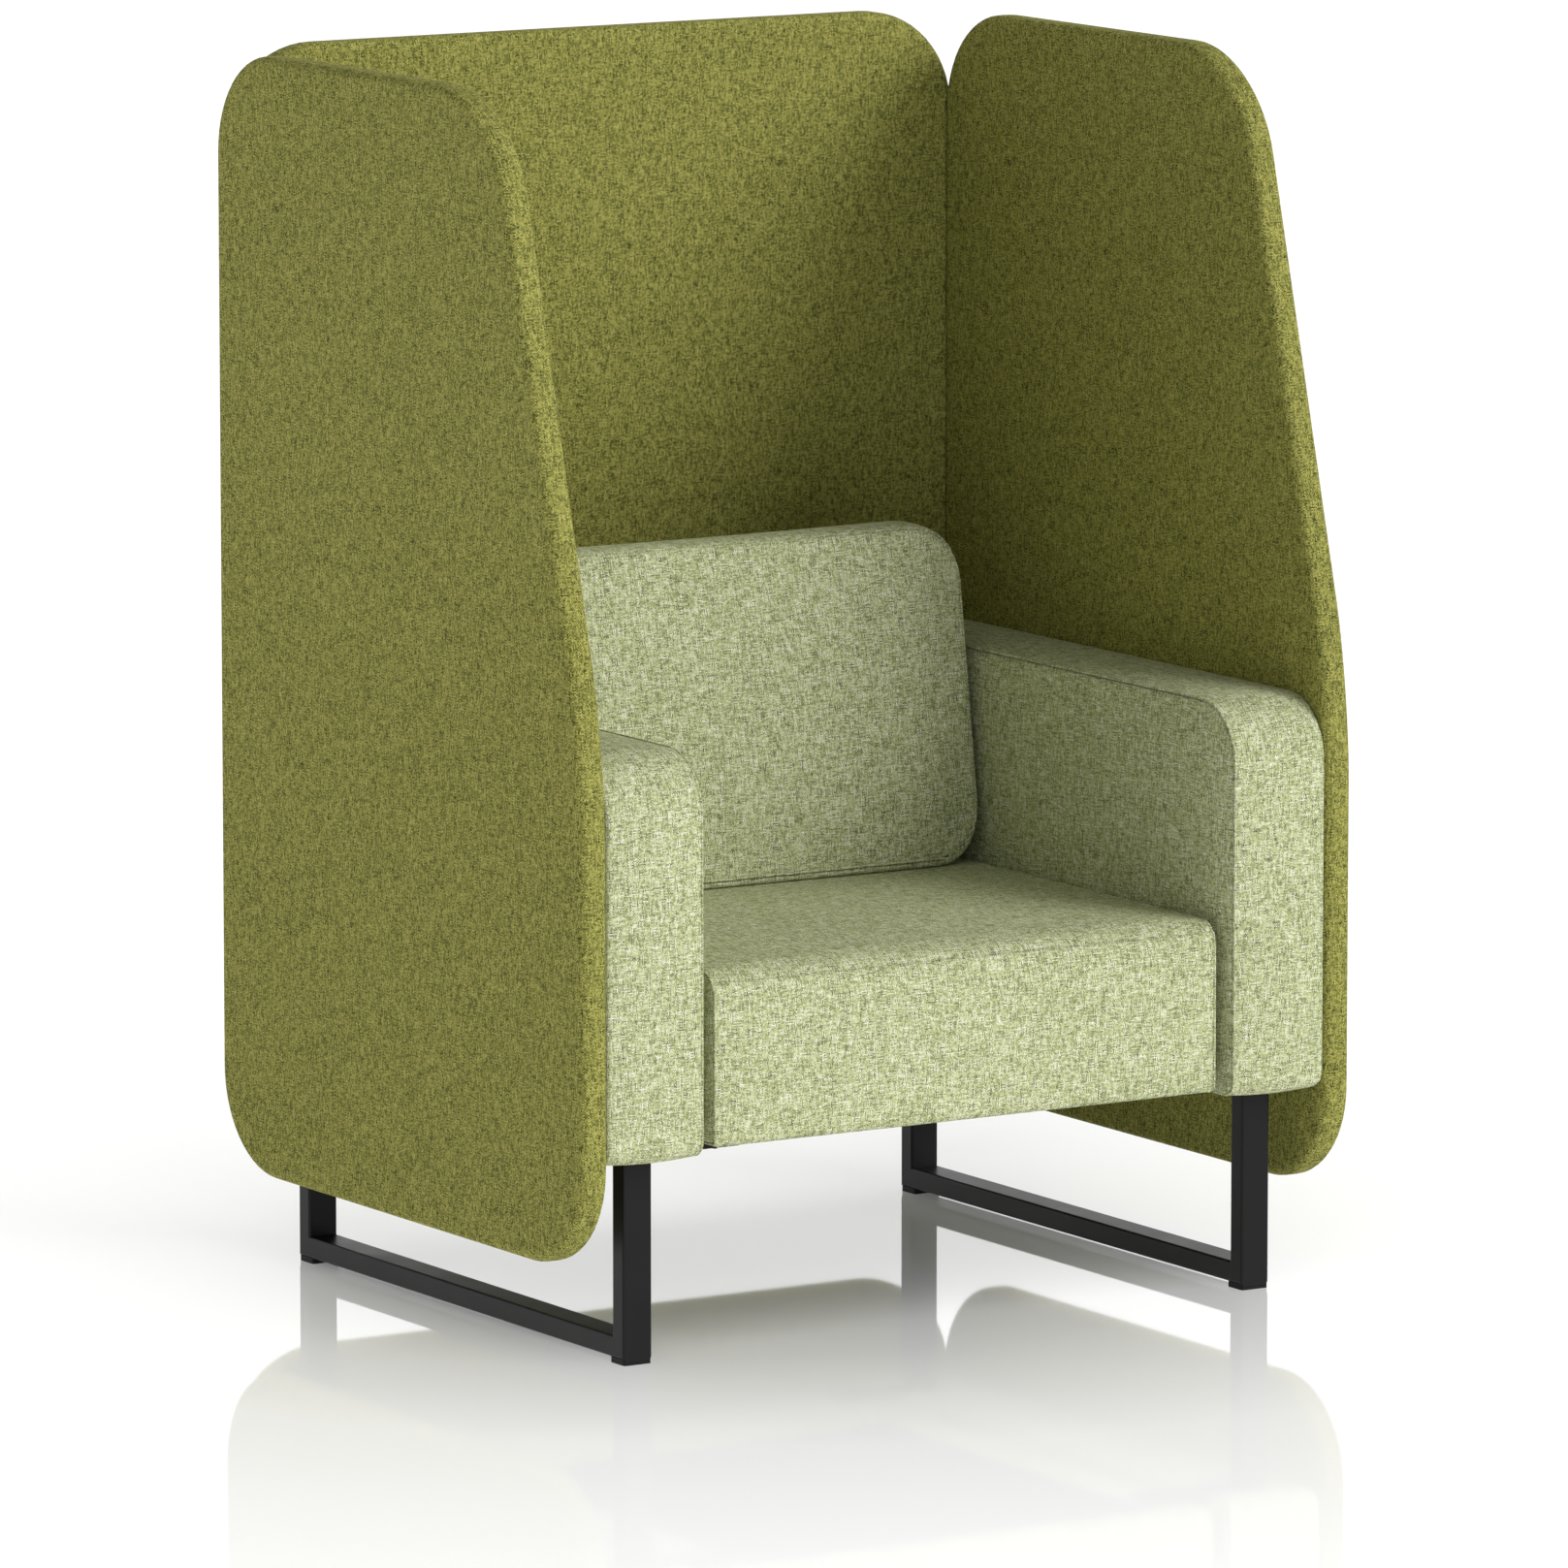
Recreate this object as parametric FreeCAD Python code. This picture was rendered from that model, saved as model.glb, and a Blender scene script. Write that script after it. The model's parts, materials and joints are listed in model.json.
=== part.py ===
import FreeCAD, Part
import math
import os

# One-seat privacy booth sofa: an upholstered seat, two arms and a back block stand on two sled
# frames, and three padded screens with rounded corners are bolted round them. The screens at the
# sides lean back above the arms.
# Frame in millimetres: origin on the floor under the middle of the booth, +Z up, the open front
# faces -Y and +X is on the right of someone looking into the booth.

# Booth and screens
booth_width = 1045.0
booth_height = 1440.0
side_screen_depth = 831.0
screen_thickness = 35.0
screen_board_thickness = 18.0
screen_underside = 118.0
screen_corner_radius = 120.0
screen_brow_radius = 160.0
screen_bend_height = 706.0
screen_bend_radius = 800.0
screen_lean_back = 197.0
screen_edge_radius = 10.0
back_screen_reveal = 22.5

# Upholstered blocks: outer forms
front_setback = 4.0
block_underside = 240.0
arm_width = 131.0
arm_height = 704.0
arm_brow_radius = 62.0
toe_radius = 18.0
heel_radius = 8.0
seat_gap = 12.5
seat_height = 448.0
seat_brow_radius = 36.0
seat_rear_drop = 1.0
back_rear_radius = 12.0
back_front_radius = 24.0
cushion_front_depth = 493.0
cushion_thickness = 130.0
cushion_height = 390.0
cushion_recline = 8.3
cushion_top_radius = 66.0
cushion_bottom_radius = 50.0

# Soft shape of the blocks: seams, crowns and drawn-in sides
face_crown = 5.5
face_soft_border = 22.0
face_flat_border = 80.0
face_soft_share = ((face_flat_border - face_soft_border) / face_flat_border) ** 2
outer_edge_round = 6.0
arm_crown = 5.0
seat_crown = 8.0
back_crown = 2.0
cushion_crown = 14.0
cushion_bulge = 4.0
cushion_draw_in = 3.0
least_round = 3.0
soft_gap = 0.3
block_gap = 0.5

# Padding and the timber inside
padding = 12.0
front_padding = 22.0
top_padding = 26.0
hidden_padding = 6.0
carcass_panel = 15.0
carcass_window_border = 110.0
carcass_window_radius = 40.0
rail_width = 40.0
rail_height = 84.0
strap_width = 50.0
strap_thickness = 2.0
long_strap_count = 6
cross_strap_count = 5
foam_border = 14.0
foam_round = 18.0
foam_top_wrap = 18.0
dust_cover_thickness = 0.8
dust_cover_overlap = 12.0

# Sled frames
tube_width = 38.0
tube_depth = 25.0
tube_wall = 2.0
tube_radius = 3.0
sled_setback = 43.0
plate_thickness = 6.0
plate_depth = 60.0
plate_reach = 73.0
plate_corner_radius = 6.0
glide_width = 36.0
glide_length = 31.0
glide_height = 6.6
glide_groove = 0.8
glide_stem_diameter = 8.0
glide_stem_length = 14.0

# Fasteners
bolt_diameter = 8.0
bolt_head_diameter = 16.0
bolt_head_height = 5.0
bolt_hole_clearance = 0.4
thread_clearance = 0.1
tee_flange_diameter = 24.0
tee_flange_thickness = 2.0
tee_barrel_wall = 1.2
tee_barrel_length = 12.0
screen_bolt_border = 120.0
back_bolt_spacing = 420.0
link_bolt_spacing = 460.0
screw_diameter = 5.0
screw_length = 22.0
screw_head_diameter = 11.0
screw_head_height = 3.0
screw_spacing = 36.0

# Derived planes
half_width = booth_width / 2
sofa_half = half_width - screen_thickness
front_plane = -(side_screen_depth + screen_thickness) / 2
rear_plane = front_plane + side_screen_depth
sofa_front = front_plane + front_setback
screen_padding = (screen_thickness - screen_board_thickness) / 2
arm_inner = sofa_half - arm_width
arm_middle = sofa_half - arm_width / 2
seat_half = arm_inner - seat_gap
frame_underside = block_underside + plate_thickness
recline = math.radians(cushion_recline)
cushion_front = sofa_front + cushion_front_depth
cushion_rear = cushion_front + cushion_thickness / math.cos(recline)
back_front = cushion_rear + soft_gap
back_half = arm_inner - block_gap
seat_rear = back_front - block_gap
back_lean = (arm_height - seat_height) * math.tan(recline)
rail_half = seat_half - padding
rail_front = sofa_front + front_padding
rail_top = frame_underside + rail_height
foam_underside = rail_top + 2 * strap_thickness
sled_front = sofa_front + sled_setback
sled_rear = rear_plane - sled_setback + front_setback
carcass_inner = arm_inner + padding
carcass_outer = sofa_half - hidden_padding
carcass_front = sofa_front + front_padding
carcass_rear = rear_plane - hidden_padding
carcass_top = arm_height - top_padding
plate_inner = arm_inner - plate_reach
plate_outer = arm_middle + tube_width / 2
bolt_radius = bolt_diameter / 2
bolt_hole_radius = bolt_radius + bolt_hole_clearance
tee_barrel_radius = bolt_radius + tee_barrel_wall
screw_radius = screw_diameter / 2
Vector = FreeCAD.Vector
ACROSS = Vector(1, 0, 0)
BACK = Vector(0, 1, 0)
UP = Vector(0, 0, 1)
ORIGIN = Vector(0, 0, 0)


def plane_point(point):
    """Turns a pair of numbers into a vector of the drawing plane."""
    return Vector(point[0], point[1], 0)


def inset_polygon(corners, insets):
    """Moves each side of a convex outline, drawn anticlockwise, inwards by its own distance."""
    lines = []
    for index, corner in enumerate(corners):
        start = plane_point(corner)
        along = plane_point(corners[(index + 1) % len(corners)]) - start
        along.normalize()
        inward = Vector(-along.y, along.x, 0)
        lines.append((inward, inward.dot(start) + insets[index]))
    moved = []
    for index, (normal, offset) in enumerate(lines):
        other, other_offset = lines[index - 1]
        scale = other.x * normal.y - normal.x * other.y
        across = (other_offset * normal.y - offset * other.y) / scale
        upward = (other.x * offset - normal.x * other_offset) / scale
        moved.append((across, upward))
    return moved


def outline_wire(corners, radii, place, bulges=None):
    """Closes an outline of rounded corners and bowed sides, put in space by the function place."""
    count = len(corners)
    bulges = bulges or [0.0] * count
    turns = []
    for index, corner in enumerate(corners):
        point = plane_point(corner)
        to_last = plane_point(corners[index - 1]) - point
        to_next = plane_point(corners[(index + 1) % count]) - point
        to_last.normalize()
        to_next.normalize()
        half_angle = to_last.getAngle(to_next) / 2
        reach = radii[index] / math.tan(half_angle)
        inward = to_last + to_next
        inward.normalize()
        middle = point + inward * (radii[index] / math.sin(half_angle) - radii[index])
        turns.append((point + to_last * reach, middle, point + to_next * reach))
    edges = []
    for index, (start, middle, end) in enumerate(turns):
        if radii[index] > 0:
            edges.append(Part.Arc(place(start), place(middle), place(end)).toShape())
        stop = turns[(index + 1) % count][0]
        along = stop - end
        if bulges[index]:
            outward = Vector(along.y, -along.x, 0)
            outward.normalize()
            crest = (end + stop) * 0.5 + outward * bulges[index]
            edges.append(Part.Arc(place(end), place(crest), place(stop)).toShape())
        else:
            edges.append(Part.LineSegment(place(end), place(stop)).toShape())
    return Part.Wire(edges)


def across_at(x):
    """Places a drawing of depth and height in the plane across the booth at x."""
    return lambda point: Vector(x, point.x, point.y)


def prism_across(corners, radii, low, high):
    """Extrudes an outline of depth and height across the booth from low to high."""
    return Part.Face(outline_wire(corners, radii, across_at(low))).extrude(ACROSS * (high - low))


def box_between(low, high):
    """Makes a box from its lowest and highest corners."""
    size = [top - bottom for bottom, top in zip(low, high)]
    return Part.makeBox(size[0], size[1], size[2], Vector(*low))


def shrunk_radii(radii, inset):
    """Radii of an outline's corners after its sides have moved inwards."""
    return [0.0 if radius == 0 else max(radius - inset, least_round) for radius in radii]


def padded_block(corners, radii, crown_shares, stretches):
    """Lofts an upholstered block across the booth, one stretch between each pair of seams.

    A stretch lists its sections as (x, inset, crown), and crown_shares says how much of the crown
    each side of the outline takes.
    """
    block = None
    for sections in stretches:
        wires = []
        for x, inset, crown in sections:
            outline = inset_polygon(corners, [inset] * len(corners))
            bulges = [share * crown for share in crown_shares]
            wires.append(outline_wire(outline, shrunk_radii(radii, inset), across_at(x), bulges))
        stretch = Part.makeLoft(wires, True, False)
        if stretch.Volume < 0:
            stretch.reverse()
        block = stretch if block is None else block.fuse(stretch)
    return block.removeSplitter()


def mirrored(shape):
    """The same shape on the other side of the booth."""
    return shape.mirror(ORIGIN, ACROSS)


# Fasteners and their holes, each along an axis from the face where its head seats
def headed_bolt(seat, axis, length):
    """Round-headed bolt with its shank running from the seat along the axis."""
    shank = Part.makeCylinder(bolt_radius - thread_clearance, length, seat, axis)
    head = Part.makeCylinder(bolt_head_diameter / 2, bolt_head_height, seat, axis * -1)
    socket = Part.makeCylinder(bolt_radius / 2, bolt_head_height / 2, seat - axis * bolt_head_height, axis)
    return head.fuse(shank).cut(socket)


def tee_nut(mouth, axis):
    """Flanged barrel nut whose flange face is at the mouth, with the barrel against the axis."""
    flange = Part.makeCylinder(tee_flange_diameter / 2, tee_flange_thickness, mouth, axis * -1)
    barrel = Part.makeCylinder(tee_barrel_radius, tee_barrel_length, mouth, axis * -1)
    bore = Part.makeCylinder(bolt_radius, tee_barrel_length, mouth, axis * -1)
    return flange.fuse(barrel).cut(bore)


def tee_nut_hole(mouth, axis, depth):
    """Stepped hole that takes a flanged nut and lets its bolt through."""
    flange = Part.makeCylinder(tee_flange_diameter / 2, tee_flange_thickness, mouth, axis * -1)
    barrel = Part.makeCylinder(tee_barrel_radius, tee_barrel_length, mouth, axis * -1)
    passage = Part.makeCylinder(bolt_hole_radius, depth, mouth, axis * -1)
    return flange.fuse(barrel).fuse(passage)


def bolt_hole(seat, axis, length):
    """Clearance hole for a bolt's shank."""
    return Part.makeCylinder(bolt_hole_radius, length, seat, axis)


# Bolt places: the side screens hang on the arms and the back screen on the back block
def side_bolt_seats():
    """Head seats of the bolts in the right arm's outer panel."""
    depths = (carcass_front + screen_bolt_border, carcass_rear - screen_bolt_border)
    heights = (frame_underside + screen_bolt_border, carcass_top - screen_bolt_border)
    return [Vector(carcass_outer - carcass_panel, y, z) for y in depths for z in heights]


def back_bolt_seats():
    """Head seats of the bolts in the back block's rear panel."""
    heights = (frame_underside + screen_bolt_border, carcass_top - screen_bolt_border)
    sides = (-back_bolt_spacing / 2, back_bolt_spacing / 2)
    return [Vector(x, carcass_rear - carcass_panel, z) for x in sides for z in heights]


def link_bolt_seats():
    """Head seats of the bolts that hold the seat's rear rail to the back block."""
    height = frame_underside + rail_height / 2
    sides = (-link_bolt_spacing / 2, link_bolt_spacing / 2)
    return [Vector(x, seat_rear - rail_width, height) for x in sides]


screen_bolt_length = carcass_panel + hidden_padding + screen_padding + screen_board_thickness
link_bolt_length = rail_width + block_gap + padding + carcass_panel


# Screens
def side_screen_outline():
    """Corners and radii of a side screen, as depth and height."""
    corners = [
        (front_plane, screen_underside),
        (rear_plane, screen_underside),
        (rear_plane, booth_height),
        (front_plane + screen_lean_back, booth_height),
        (front_plane, screen_bend_height),
    ]
    radii = [screen_corner_radius] * 3 + [screen_brow_radius, screen_bend_radius]
    return corners, radii


def back_screen_outline():
    """Corners and radii of the back screen, as width and height."""
    half = half_width - back_screen_reveal
    corners = [
        (-half, screen_underside),
        (half, screen_underside),
        (half, booth_height),
        (-half, booth_height),
    ]
    return corners, [screen_corner_radius] * 4


def screen_pair(outline, place, axis, holes, nut_holes):
    """A screen's board and the padded cover round it, drawn on the face next to the sofa."""
    corners, radii = outline
    cover = Part.Face(outline_wire(corners, radii, place)).extrude(axis * screen_thickness)
    rims = []
    for edge in cover.Edges:
        box = edge.BoundBox
        span = Vector(box.XLength, box.YLength, box.ZLength)
        if span.dot(axis) < screen_thickness / 2:
            rims.append(edge)
    cover = cover.makeFillet(screen_edge_radius, rims)
    inner = inset_polygon(corners, [screen_padding] * len(corners))
    inner_wire = outline_wire(inner, shrunk_radii(radii, screen_padding), place)
    inner_wire.translate(axis * screen_padding)
    board = Part.Face(inner_wire).extrude(axis * screen_board_thickness)
    return board.cut(nut_holes), cover.cut([board] + holes)


def build_screens():
    """Boards and covers of the three screens, and the bolts and nuts that hold them."""
    shapes = {}
    bolts = []
    nuts = []
    side_holes = []
    side_nut_holes = []
    for seat in side_bolt_seats():
        mouth = seat + ACROSS * screen_bolt_length
        bolts.append(headed_bolt(seat, ACROSS, screen_bolt_length))
        nuts.append(tee_nut(mouth, ACROSS))
        side_holes.append(bolt_hole(seat, ACROSS, screen_bolt_length))
        side_nut_holes.append(tee_nut_hole(mouth, ACROSS, screen_board_thickness))
    outline = side_screen_outline()
    board, cover = screen_pair(outline, across_at(sofa_half), ACROSS, side_holes, side_nut_holes)
    shapes["right_screen_board"] = board
    shapes["right_screen_cover"] = cover
    shapes["left_screen_board"] = mirrored(board)
    shapes["left_screen_cover"] = mirrored(cover)
    bolts += [mirrored(bolt) for bolt in bolts]
    nuts += [mirrored(nut) for nut in nuts]
    back_holes = []
    back_nut_holes = []
    for seat in back_bolt_seats():
        mouth = seat + BACK * screen_bolt_length
        bolts.append(headed_bolt(seat, BACK, screen_bolt_length))
        nuts.append(tee_nut(mouth, BACK))
        back_holes.append(bolt_hole(seat, BACK, screen_bolt_length))
        back_nut_holes.append(tee_nut_hole(mouth, BACK, screen_board_thickness))

    def on_rear_plane(point):
        return Vector(point.x, rear_plane, point.y)

    board, cover = screen_pair(back_screen_outline(), on_rear_plane, BACK, back_holes, back_nut_holes)
    shapes["back_screen_board"] = board
    shapes["back_screen_cover"] = cover
    shapes["screen_bolts"] = Part.makeCompound(bolts)
    shapes["screen_tee_nuts"] = Part.makeCompound(nuts)
    return shapes


# Sled frames
def tube_along(axis, start, length, corners):
    """Hollow rectangular tube with rounded corners, its section drawn at the start."""
    count = len(corners)

    def place(point):
        if axis == UP:
            return Vector(point.x, point.y, start)
        return Vector(point.x, start, point.y)

    outer = Part.Face(outline_wire(corners, [tube_radius] * count, place)).extrude(axis * length)
    bore_corners = inset_polygon(corners, [tube_wall] * count)
    bore_wire = outline_wire(bore_corners, [tube_radius - tube_wall] * count, place)
    return outer.cut(Part.Face(bore_wire).extrude(axis * length))


def mitre_wedge(outer_depth, direction, under_rail):
    """Triangular prism that mitres a tube where a leg meets the floor rail."""
    low = glide_height
    inner_depth = outer_depth + direction * tube_depth
    third = (outer_depth, low + tube_depth) if under_rail else (inner_depth, low)
    points = [(outer_depth, low), (inner_depth, low + tube_depth), third]
    place = across_at(arm_middle - tube_width)
    vectors = [place(plane_point(point)) for point in points]
    wire = Part.makePolygon(vectors + vectors[:1])
    return Part.Face(wire).extrude(ACROSS * (2 * tube_width))


def leg_tube(outer_depth, direction):
    """Upright leg from the floor rail's mitre to the underside of its plate."""
    depths = sorted((outer_depth, outer_depth + direction * tube_depth))
    corners = [
        (arm_middle - tube_width / 2, depths[0]),
        (arm_middle + tube_width / 2, depths[0]),
        (arm_middle + tube_width / 2, depths[1]),
        (arm_middle - tube_width / 2, depths[1]),
    ]
    leg = tube_along(UP, glide_height, block_underside - glide_height, corners)
    return leg.cut(mitre_wedge(outer_depth, direction, False))


def glide_places():
    """Depths of the two glides of a sled, each under an end of the floor rail."""
    inset = glide_length / 2
    return {"front": sled_front + inset, "rear": sled_rear - inset}


def floor_rail():
    """Floor tube of a sled, mitred at both ends, with a hole for each glide's stem."""
    corners = [
        (arm_middle - tube_width / 2, glide_height),
        (arm_middle - tube_width / 2, glide_height + tube_depth),
        (arm_middle + tube_width / 2, glide_height + tube_depth),
        (arm_middle + tube_width / 2, glide_height),
    ]
    rail = tube_along(BACK, sled_front, sled_rear - sled_front, corners[::-1])
    cutters = [mitre_wedge(sled_front, 1, True), mitre_wedge(sled_rear, -1, True)]
    for depth in glide_places().values():
        foot = Vector(arm_middle, depth, 0)
        cutters.append(Part.makeCylinder(glide_stem_diameter / 2, glide_height + tube_wall, foot, UP))
    return rail.cut(cutters)


def glide(depth):
    """Two-step floor glide with a stem that pushes into the rail."""
    low = [arm_middle - glide_width / 2, depth - glide_length / 2, 0]
    high = [arm_middle + glide_width / 2, depth + glide_length / 2, glide_height]
    pad = box_between(low, high)
    uprights = [edge for edge in pad.Edges if edge.BoundBox.ZLength > glide_height / 2]
    pad = pad.makeFillet(tube_radius, uprights)
    groove_low = (glide_height - glide_groove) / 2
    ring = box_between([low[0], low[1], groove_low], [high[0], high[1], groove_low + glide_groove])
    core_low = [low[0] + glide_groove, low[1] + glide_groove, groove_low]
    core_high = [high[0] - glide_groove, high[1] - glide_groove, groove_low + glide_groove]
    groove = ring.cut(box_between(core_low, core_high))
    stem_radius = glide_stem_diameter / 2 - thread_clearance
    stem = Part.makeCylinder(stem_radius, glide_stem_length, Vector(arm_middle, depth, 0), UP)
    return pad.cut(groove).fuse(stem)


def plate_spans():
    """Depths from front to rear of the plates on the front and rear legs."""
    return {
        "front": (sled_front, sled_front + plate_depth),
        "rear": (sled_rear - plate_depth, sled_rear),
    }


def plate_screw_places(span):
    """Places of the screws in one plate: two in the arm and two in the block beside it."""
    middle = (span[0] + span[1]) / 2
    outer = (carcass_inner + arm_middle - tube_width / 2) / 2
    inner = rail_half - rail_width / 2
    offsets = (-screw_spacing / 2, screw_spacing / 2)
    return [Vector(x, middle + offset, block_underside) for x in (inner, outer) for offset in offsets]


def leg_plate(span):
    """Flat steel plate that joins a leg to the arm and to the block beside the arm."""
    corners = [
        (plate_inner, span[0]),
        (plate_outer, span[0]),
        (plate_outer, span[1]),
        (plate_inner, span[1]),
    ]

    def place(point):
        return Vector(point.x, point.y, block_underside)

    plate = Part.Face(outline_wire(corners, [plate_corner_radius] * 4, place)).extrude(UP * plate_thickness)
    hole_radius = screw_radius + bolt_hole_clearance
    holes = [Part.makeCylinder(hole_radius, plate_thickness, at, UP) for at in plate_screw_places(span)]
    return plate.cut(holes)


def plate_screw(at):
    """Cone-headed wood screw driven up through a plate."""
    foot = at - UP * screw_head_height
    head = Part.makeCone(screw_radius, screw_head_diameter / 2, screw_head_height, foot, UP)
    tip = at + UP * (screw_length - screw_diameter)
    shank = Part.makeCylinder(screw_radius - thread_clearance, screw_length - screw_diameter, at, UP)
    point = Part.makeCone(screw_radius - thread_clearance, thread_clearance, screw_diameter, tip, UP)
    return head.fuse([shank, point])


def plate_screw_holes():
    """Pilot holes of the right-hand screws, and their mirror images."""
    holes = []
    for span in plate_spans().values():
        for at in plate_screw_places(span):
            holes.append(Part.makeCylinder(screw_radius, screw_length, at, UP))
    return holes + [mirrored(hole) for hole in holes]


def build_sleds():
    """Legs, rails, plates and glides of both sleds, and the screws of the plates."""
    shapes = {}
    right = {
        "front_leg": leg_tube(sled_front, 1),
        "rear_leg": leg_tube(sled_rear, -1),
        "floor_rail": floor_rail(),
    }
    screws = []
    for name, span in plate_spans().items():
        right[name + "_leg_plate"] = leg_plate(span)
        screws += [plate_screw(at) for at in plate_screw_places(span)]
    for name, depth in glide_places().items():
        right[name + "_glide"] = glide(depth)
    for name, shape in right.items():
        shapes["right_" + name] = shape
        shapes["left_" + name] = mirrored(shape)
    shapes["leg_plate_screws"] = Part.makeCompound(screws + [mirrored(screw) for screw in screws])
    return shapes


def plate_notches():
    """Room for the plates where they pass under the edges of the upholstered blocks."""
    notches = []
    for span in plate_spans().values():
        low = [plate_inner - block_gap, span[0] - block_gap, block_underside - block_gap]
        high = [plate_outer + block_gap, span[1] + block_gap, frame_underside]
        notches.append(box_between(low, high))
    return notches + [mirrored(notch) for notch in notches]


# Arms
def arm_carcass():
    """Glued plywood box inside the right arm, with windows in its inner panel."""
    low = [carcass_inner, carcass_front, frame_underside]
    high = [carcass_outer, carcass_rear, carcass_top]
    inside_low = [value + carcass_panel for value in low]
    inside_high = [value - carcass_panel for value in high]
    box = box_between(low, high).cut(box_between(inside_low, inside_high))
    middle = (carcass_front + carcass_rear) / 2
    floor = frame_underside + carcass_window_border
    ceiling = carcass_top - carcass_window_border
    cutters = []
    for start, stop in ((carcass_front, middle), (middle, carcass_rear)):
        window = [
            (start + carcass_window_border, floor),
            (stop - carcass_window_border, floor),
            (stop - carcass_window_border, ceiling),
            (start + carcass_window_border, ceiling),
        ]
        cutters.append(prism_across(window, [carcass_window_radius] * 4, low[0], inside_low[0]))
    for seat in side_bolt_seats():
        cutters.append(bolt_hole(seat, ACROSS, carcass_panel))
    return box.cut(cutters + plate_screw_holes())


def arm_pad():
    """Padded cover of the right arm: a wrap band with a crowned top and a sewn-in inner side."""
    corners = [
        (sofa_front, block_underside),
        (rear_plane, block_underside),
        (rear_plane, arm_height),
        (sofa_front, arm_height),
    ]
    radii = [toe_radius, heel_radius, heel_radius, arm_brow_radius]
    inner_soft = arm_inner + face_crown * face_soft_share
    inner_seam = arm_inner + face_crown
    outer_seam = sofa_half - outer_edge_round
    middle = (inner_seam + outer_seam) / 2
    stretches = [
        [(arm_inner, face_flat_border, 0.0), (inner_soft, face_soft_border, 0.0), (inner_seam, 0.0, 0.0)],
        [(inner_seam, 0.0, 0.0), (middle, 0.0, arm_crown), (outer_seam, 0.0, 0.0)],
        [(outer_seam, 0.0, 0.0), (sofa_half, outer_edge_round, 0.0)],
    ]
    pad = padded_block(corners, radii, [0.0, 0.0, 1.0, 0.4], stretches)
    cavity_low = [carcass_inner, carcass_front, block_underside - block_gap]
    cavity = box_between(cavity_low, [carcass_outer, carcass_rear, carcass_top])
    holes = [bolt_hole(seat, ACROSS, screen_bolt_length) for seat in side_bolt_seats()]
    return pad.cut([cavity] + holes + plate_notches())


def build_arms():
    """Carcass and padded cover of both arms."""
    carcass = arm_carcass()
    pad = arm_pad()
    return {
        "right_arm_frame": carcass,
        "left_arm_frame": mirrored(carcass),
        "right_arm_pad": pad,
        "left_arm_pad": mirrored(pad),
    }


# Seat
def seat_rails():
    """Timber rails of the seat's frame by name."""
    front_low = [-rail_half, rail_front, frame_underside]
    front_high = [rail_half, rail_front + rail_width, rail_top]
    rear_low = [-rail_half, seat_rear - rail_width, frame_underside]
    rear_high = [rail_half, seat_rear, rail_top]
    side_low = [rail_half - rail_width, rail_front + rail_width, frame_underside]
    side_high = [rail_half, seat_rear - rail_width, rail_top]
    middle_low = [-rail_width / 2, rail_front + rail_width, frame_underside]
    middle_high = [rail_width / 2, seat_rear - rail_width, rail_top - rail_width]
    right_rail = box_between(side_low, side_high)
    rails = {
        "seat_front_rail": box_between(front_low, front_high),
        "seat_rear_rail": box_between(rear_low, rear_high),
        "right_seat_rail": right_rail,
        "left_seat_rail": mirrored(right_rail),
        "seat_centre_rail": box_between(middle_low, middle_high),
    }
    cutters = plate_screw_holes()
    cutters += [bolt_hole(seat, BACK, link_bolt_length) for seat in link_bolt_seats()]
    return {name: rail.cut(cutters) for name, rail in rails.items()}


def seat_webbing():
    """Elastic straps over the seat's rails, the cross straps lying on the long ones."""
    straps = []
    long_step = 2 * rail_half / long_strap_count
    for index in range(long_strap_count):
        x = -rail_half + long_step * (index + 0.5)
        low = [x - strap_width / 2, rail_front, rail_top]
        straps.append(box_between(low, [x + strap_width / 2, seat_rear, rail_top + strap_thickness]))
    cross_step = (seat_rear - rail_front) / cross_strap_count
    for index in range(cross_strap_count):
        y = rail_front + cross_step * (index + 0.5)
        low = [-rail_half, y - strap_width / 2, rail_top + strap_thickness]
        straps.append(box_between(low, [rail_half, y + strap_width / 2, foam_underside]))
    return Part.makeCompound(straps)


def seat_foam():
    """Foam block that lies on the webbing."""
    low = [-rail_half + foam_border, rail_front, foam_underside]
    high = [rail_half - foam_border, seat_rear - foam_border, seat_height - foam_top_wrap]
    block = box_between(low, high)
    rims = [edge for edge in block.Edges if edge.BoundBox.ZMax > high[2] - least_round]
    rims = [edge for edge in rims if edge.BoundBox.ZMin > low[2] + least_round]
    return block.makeFillet(foam_round, rims)


def seat_cover():
    """Padded cover of the seat: a crowned top and front in one band between sewn-in sides."""
    corners = [
        (sofa_front, frame_underside),
        (seat_rear, frame_underside),
        (seat_rear, seat_height - seat_rear_drop),
        (cushion_front, seat_height),
        (sofa_front, seat_height),
    ]
    radii = [toe_radius, heel_radius, heel_radius, 0.0, seat_brow_radius]
    soft = seat_half - face_crown * face_soft_share
    seam = seat_half - face_crown
    side = [(seat_half, face_flat_border, 0.0), (soft, face_soft_border, 0.0), (seam, 0.0, 0.0)]
    band = [(share * seam, 0.0, seat_crown * (1 - share ** 2)) for share in (1.0, 0.0, -1.0)]
    other_side = [(-x, inset, crown) for x, inset, crown in side]
    pad = padded_block(corners, radii, [0.0, 0.0, 0.0, 1.0, 0.3], [side, band, other_side])
    cavity_low = [-rail_half, rail_front, frame_underside - block_gap]
    cavity = box_between(cavity_low, [rail_half, seat_rear + block_gap, foam_underside])
    return pad.cut([cavity, seat_foam()] + plate_notches())


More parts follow.
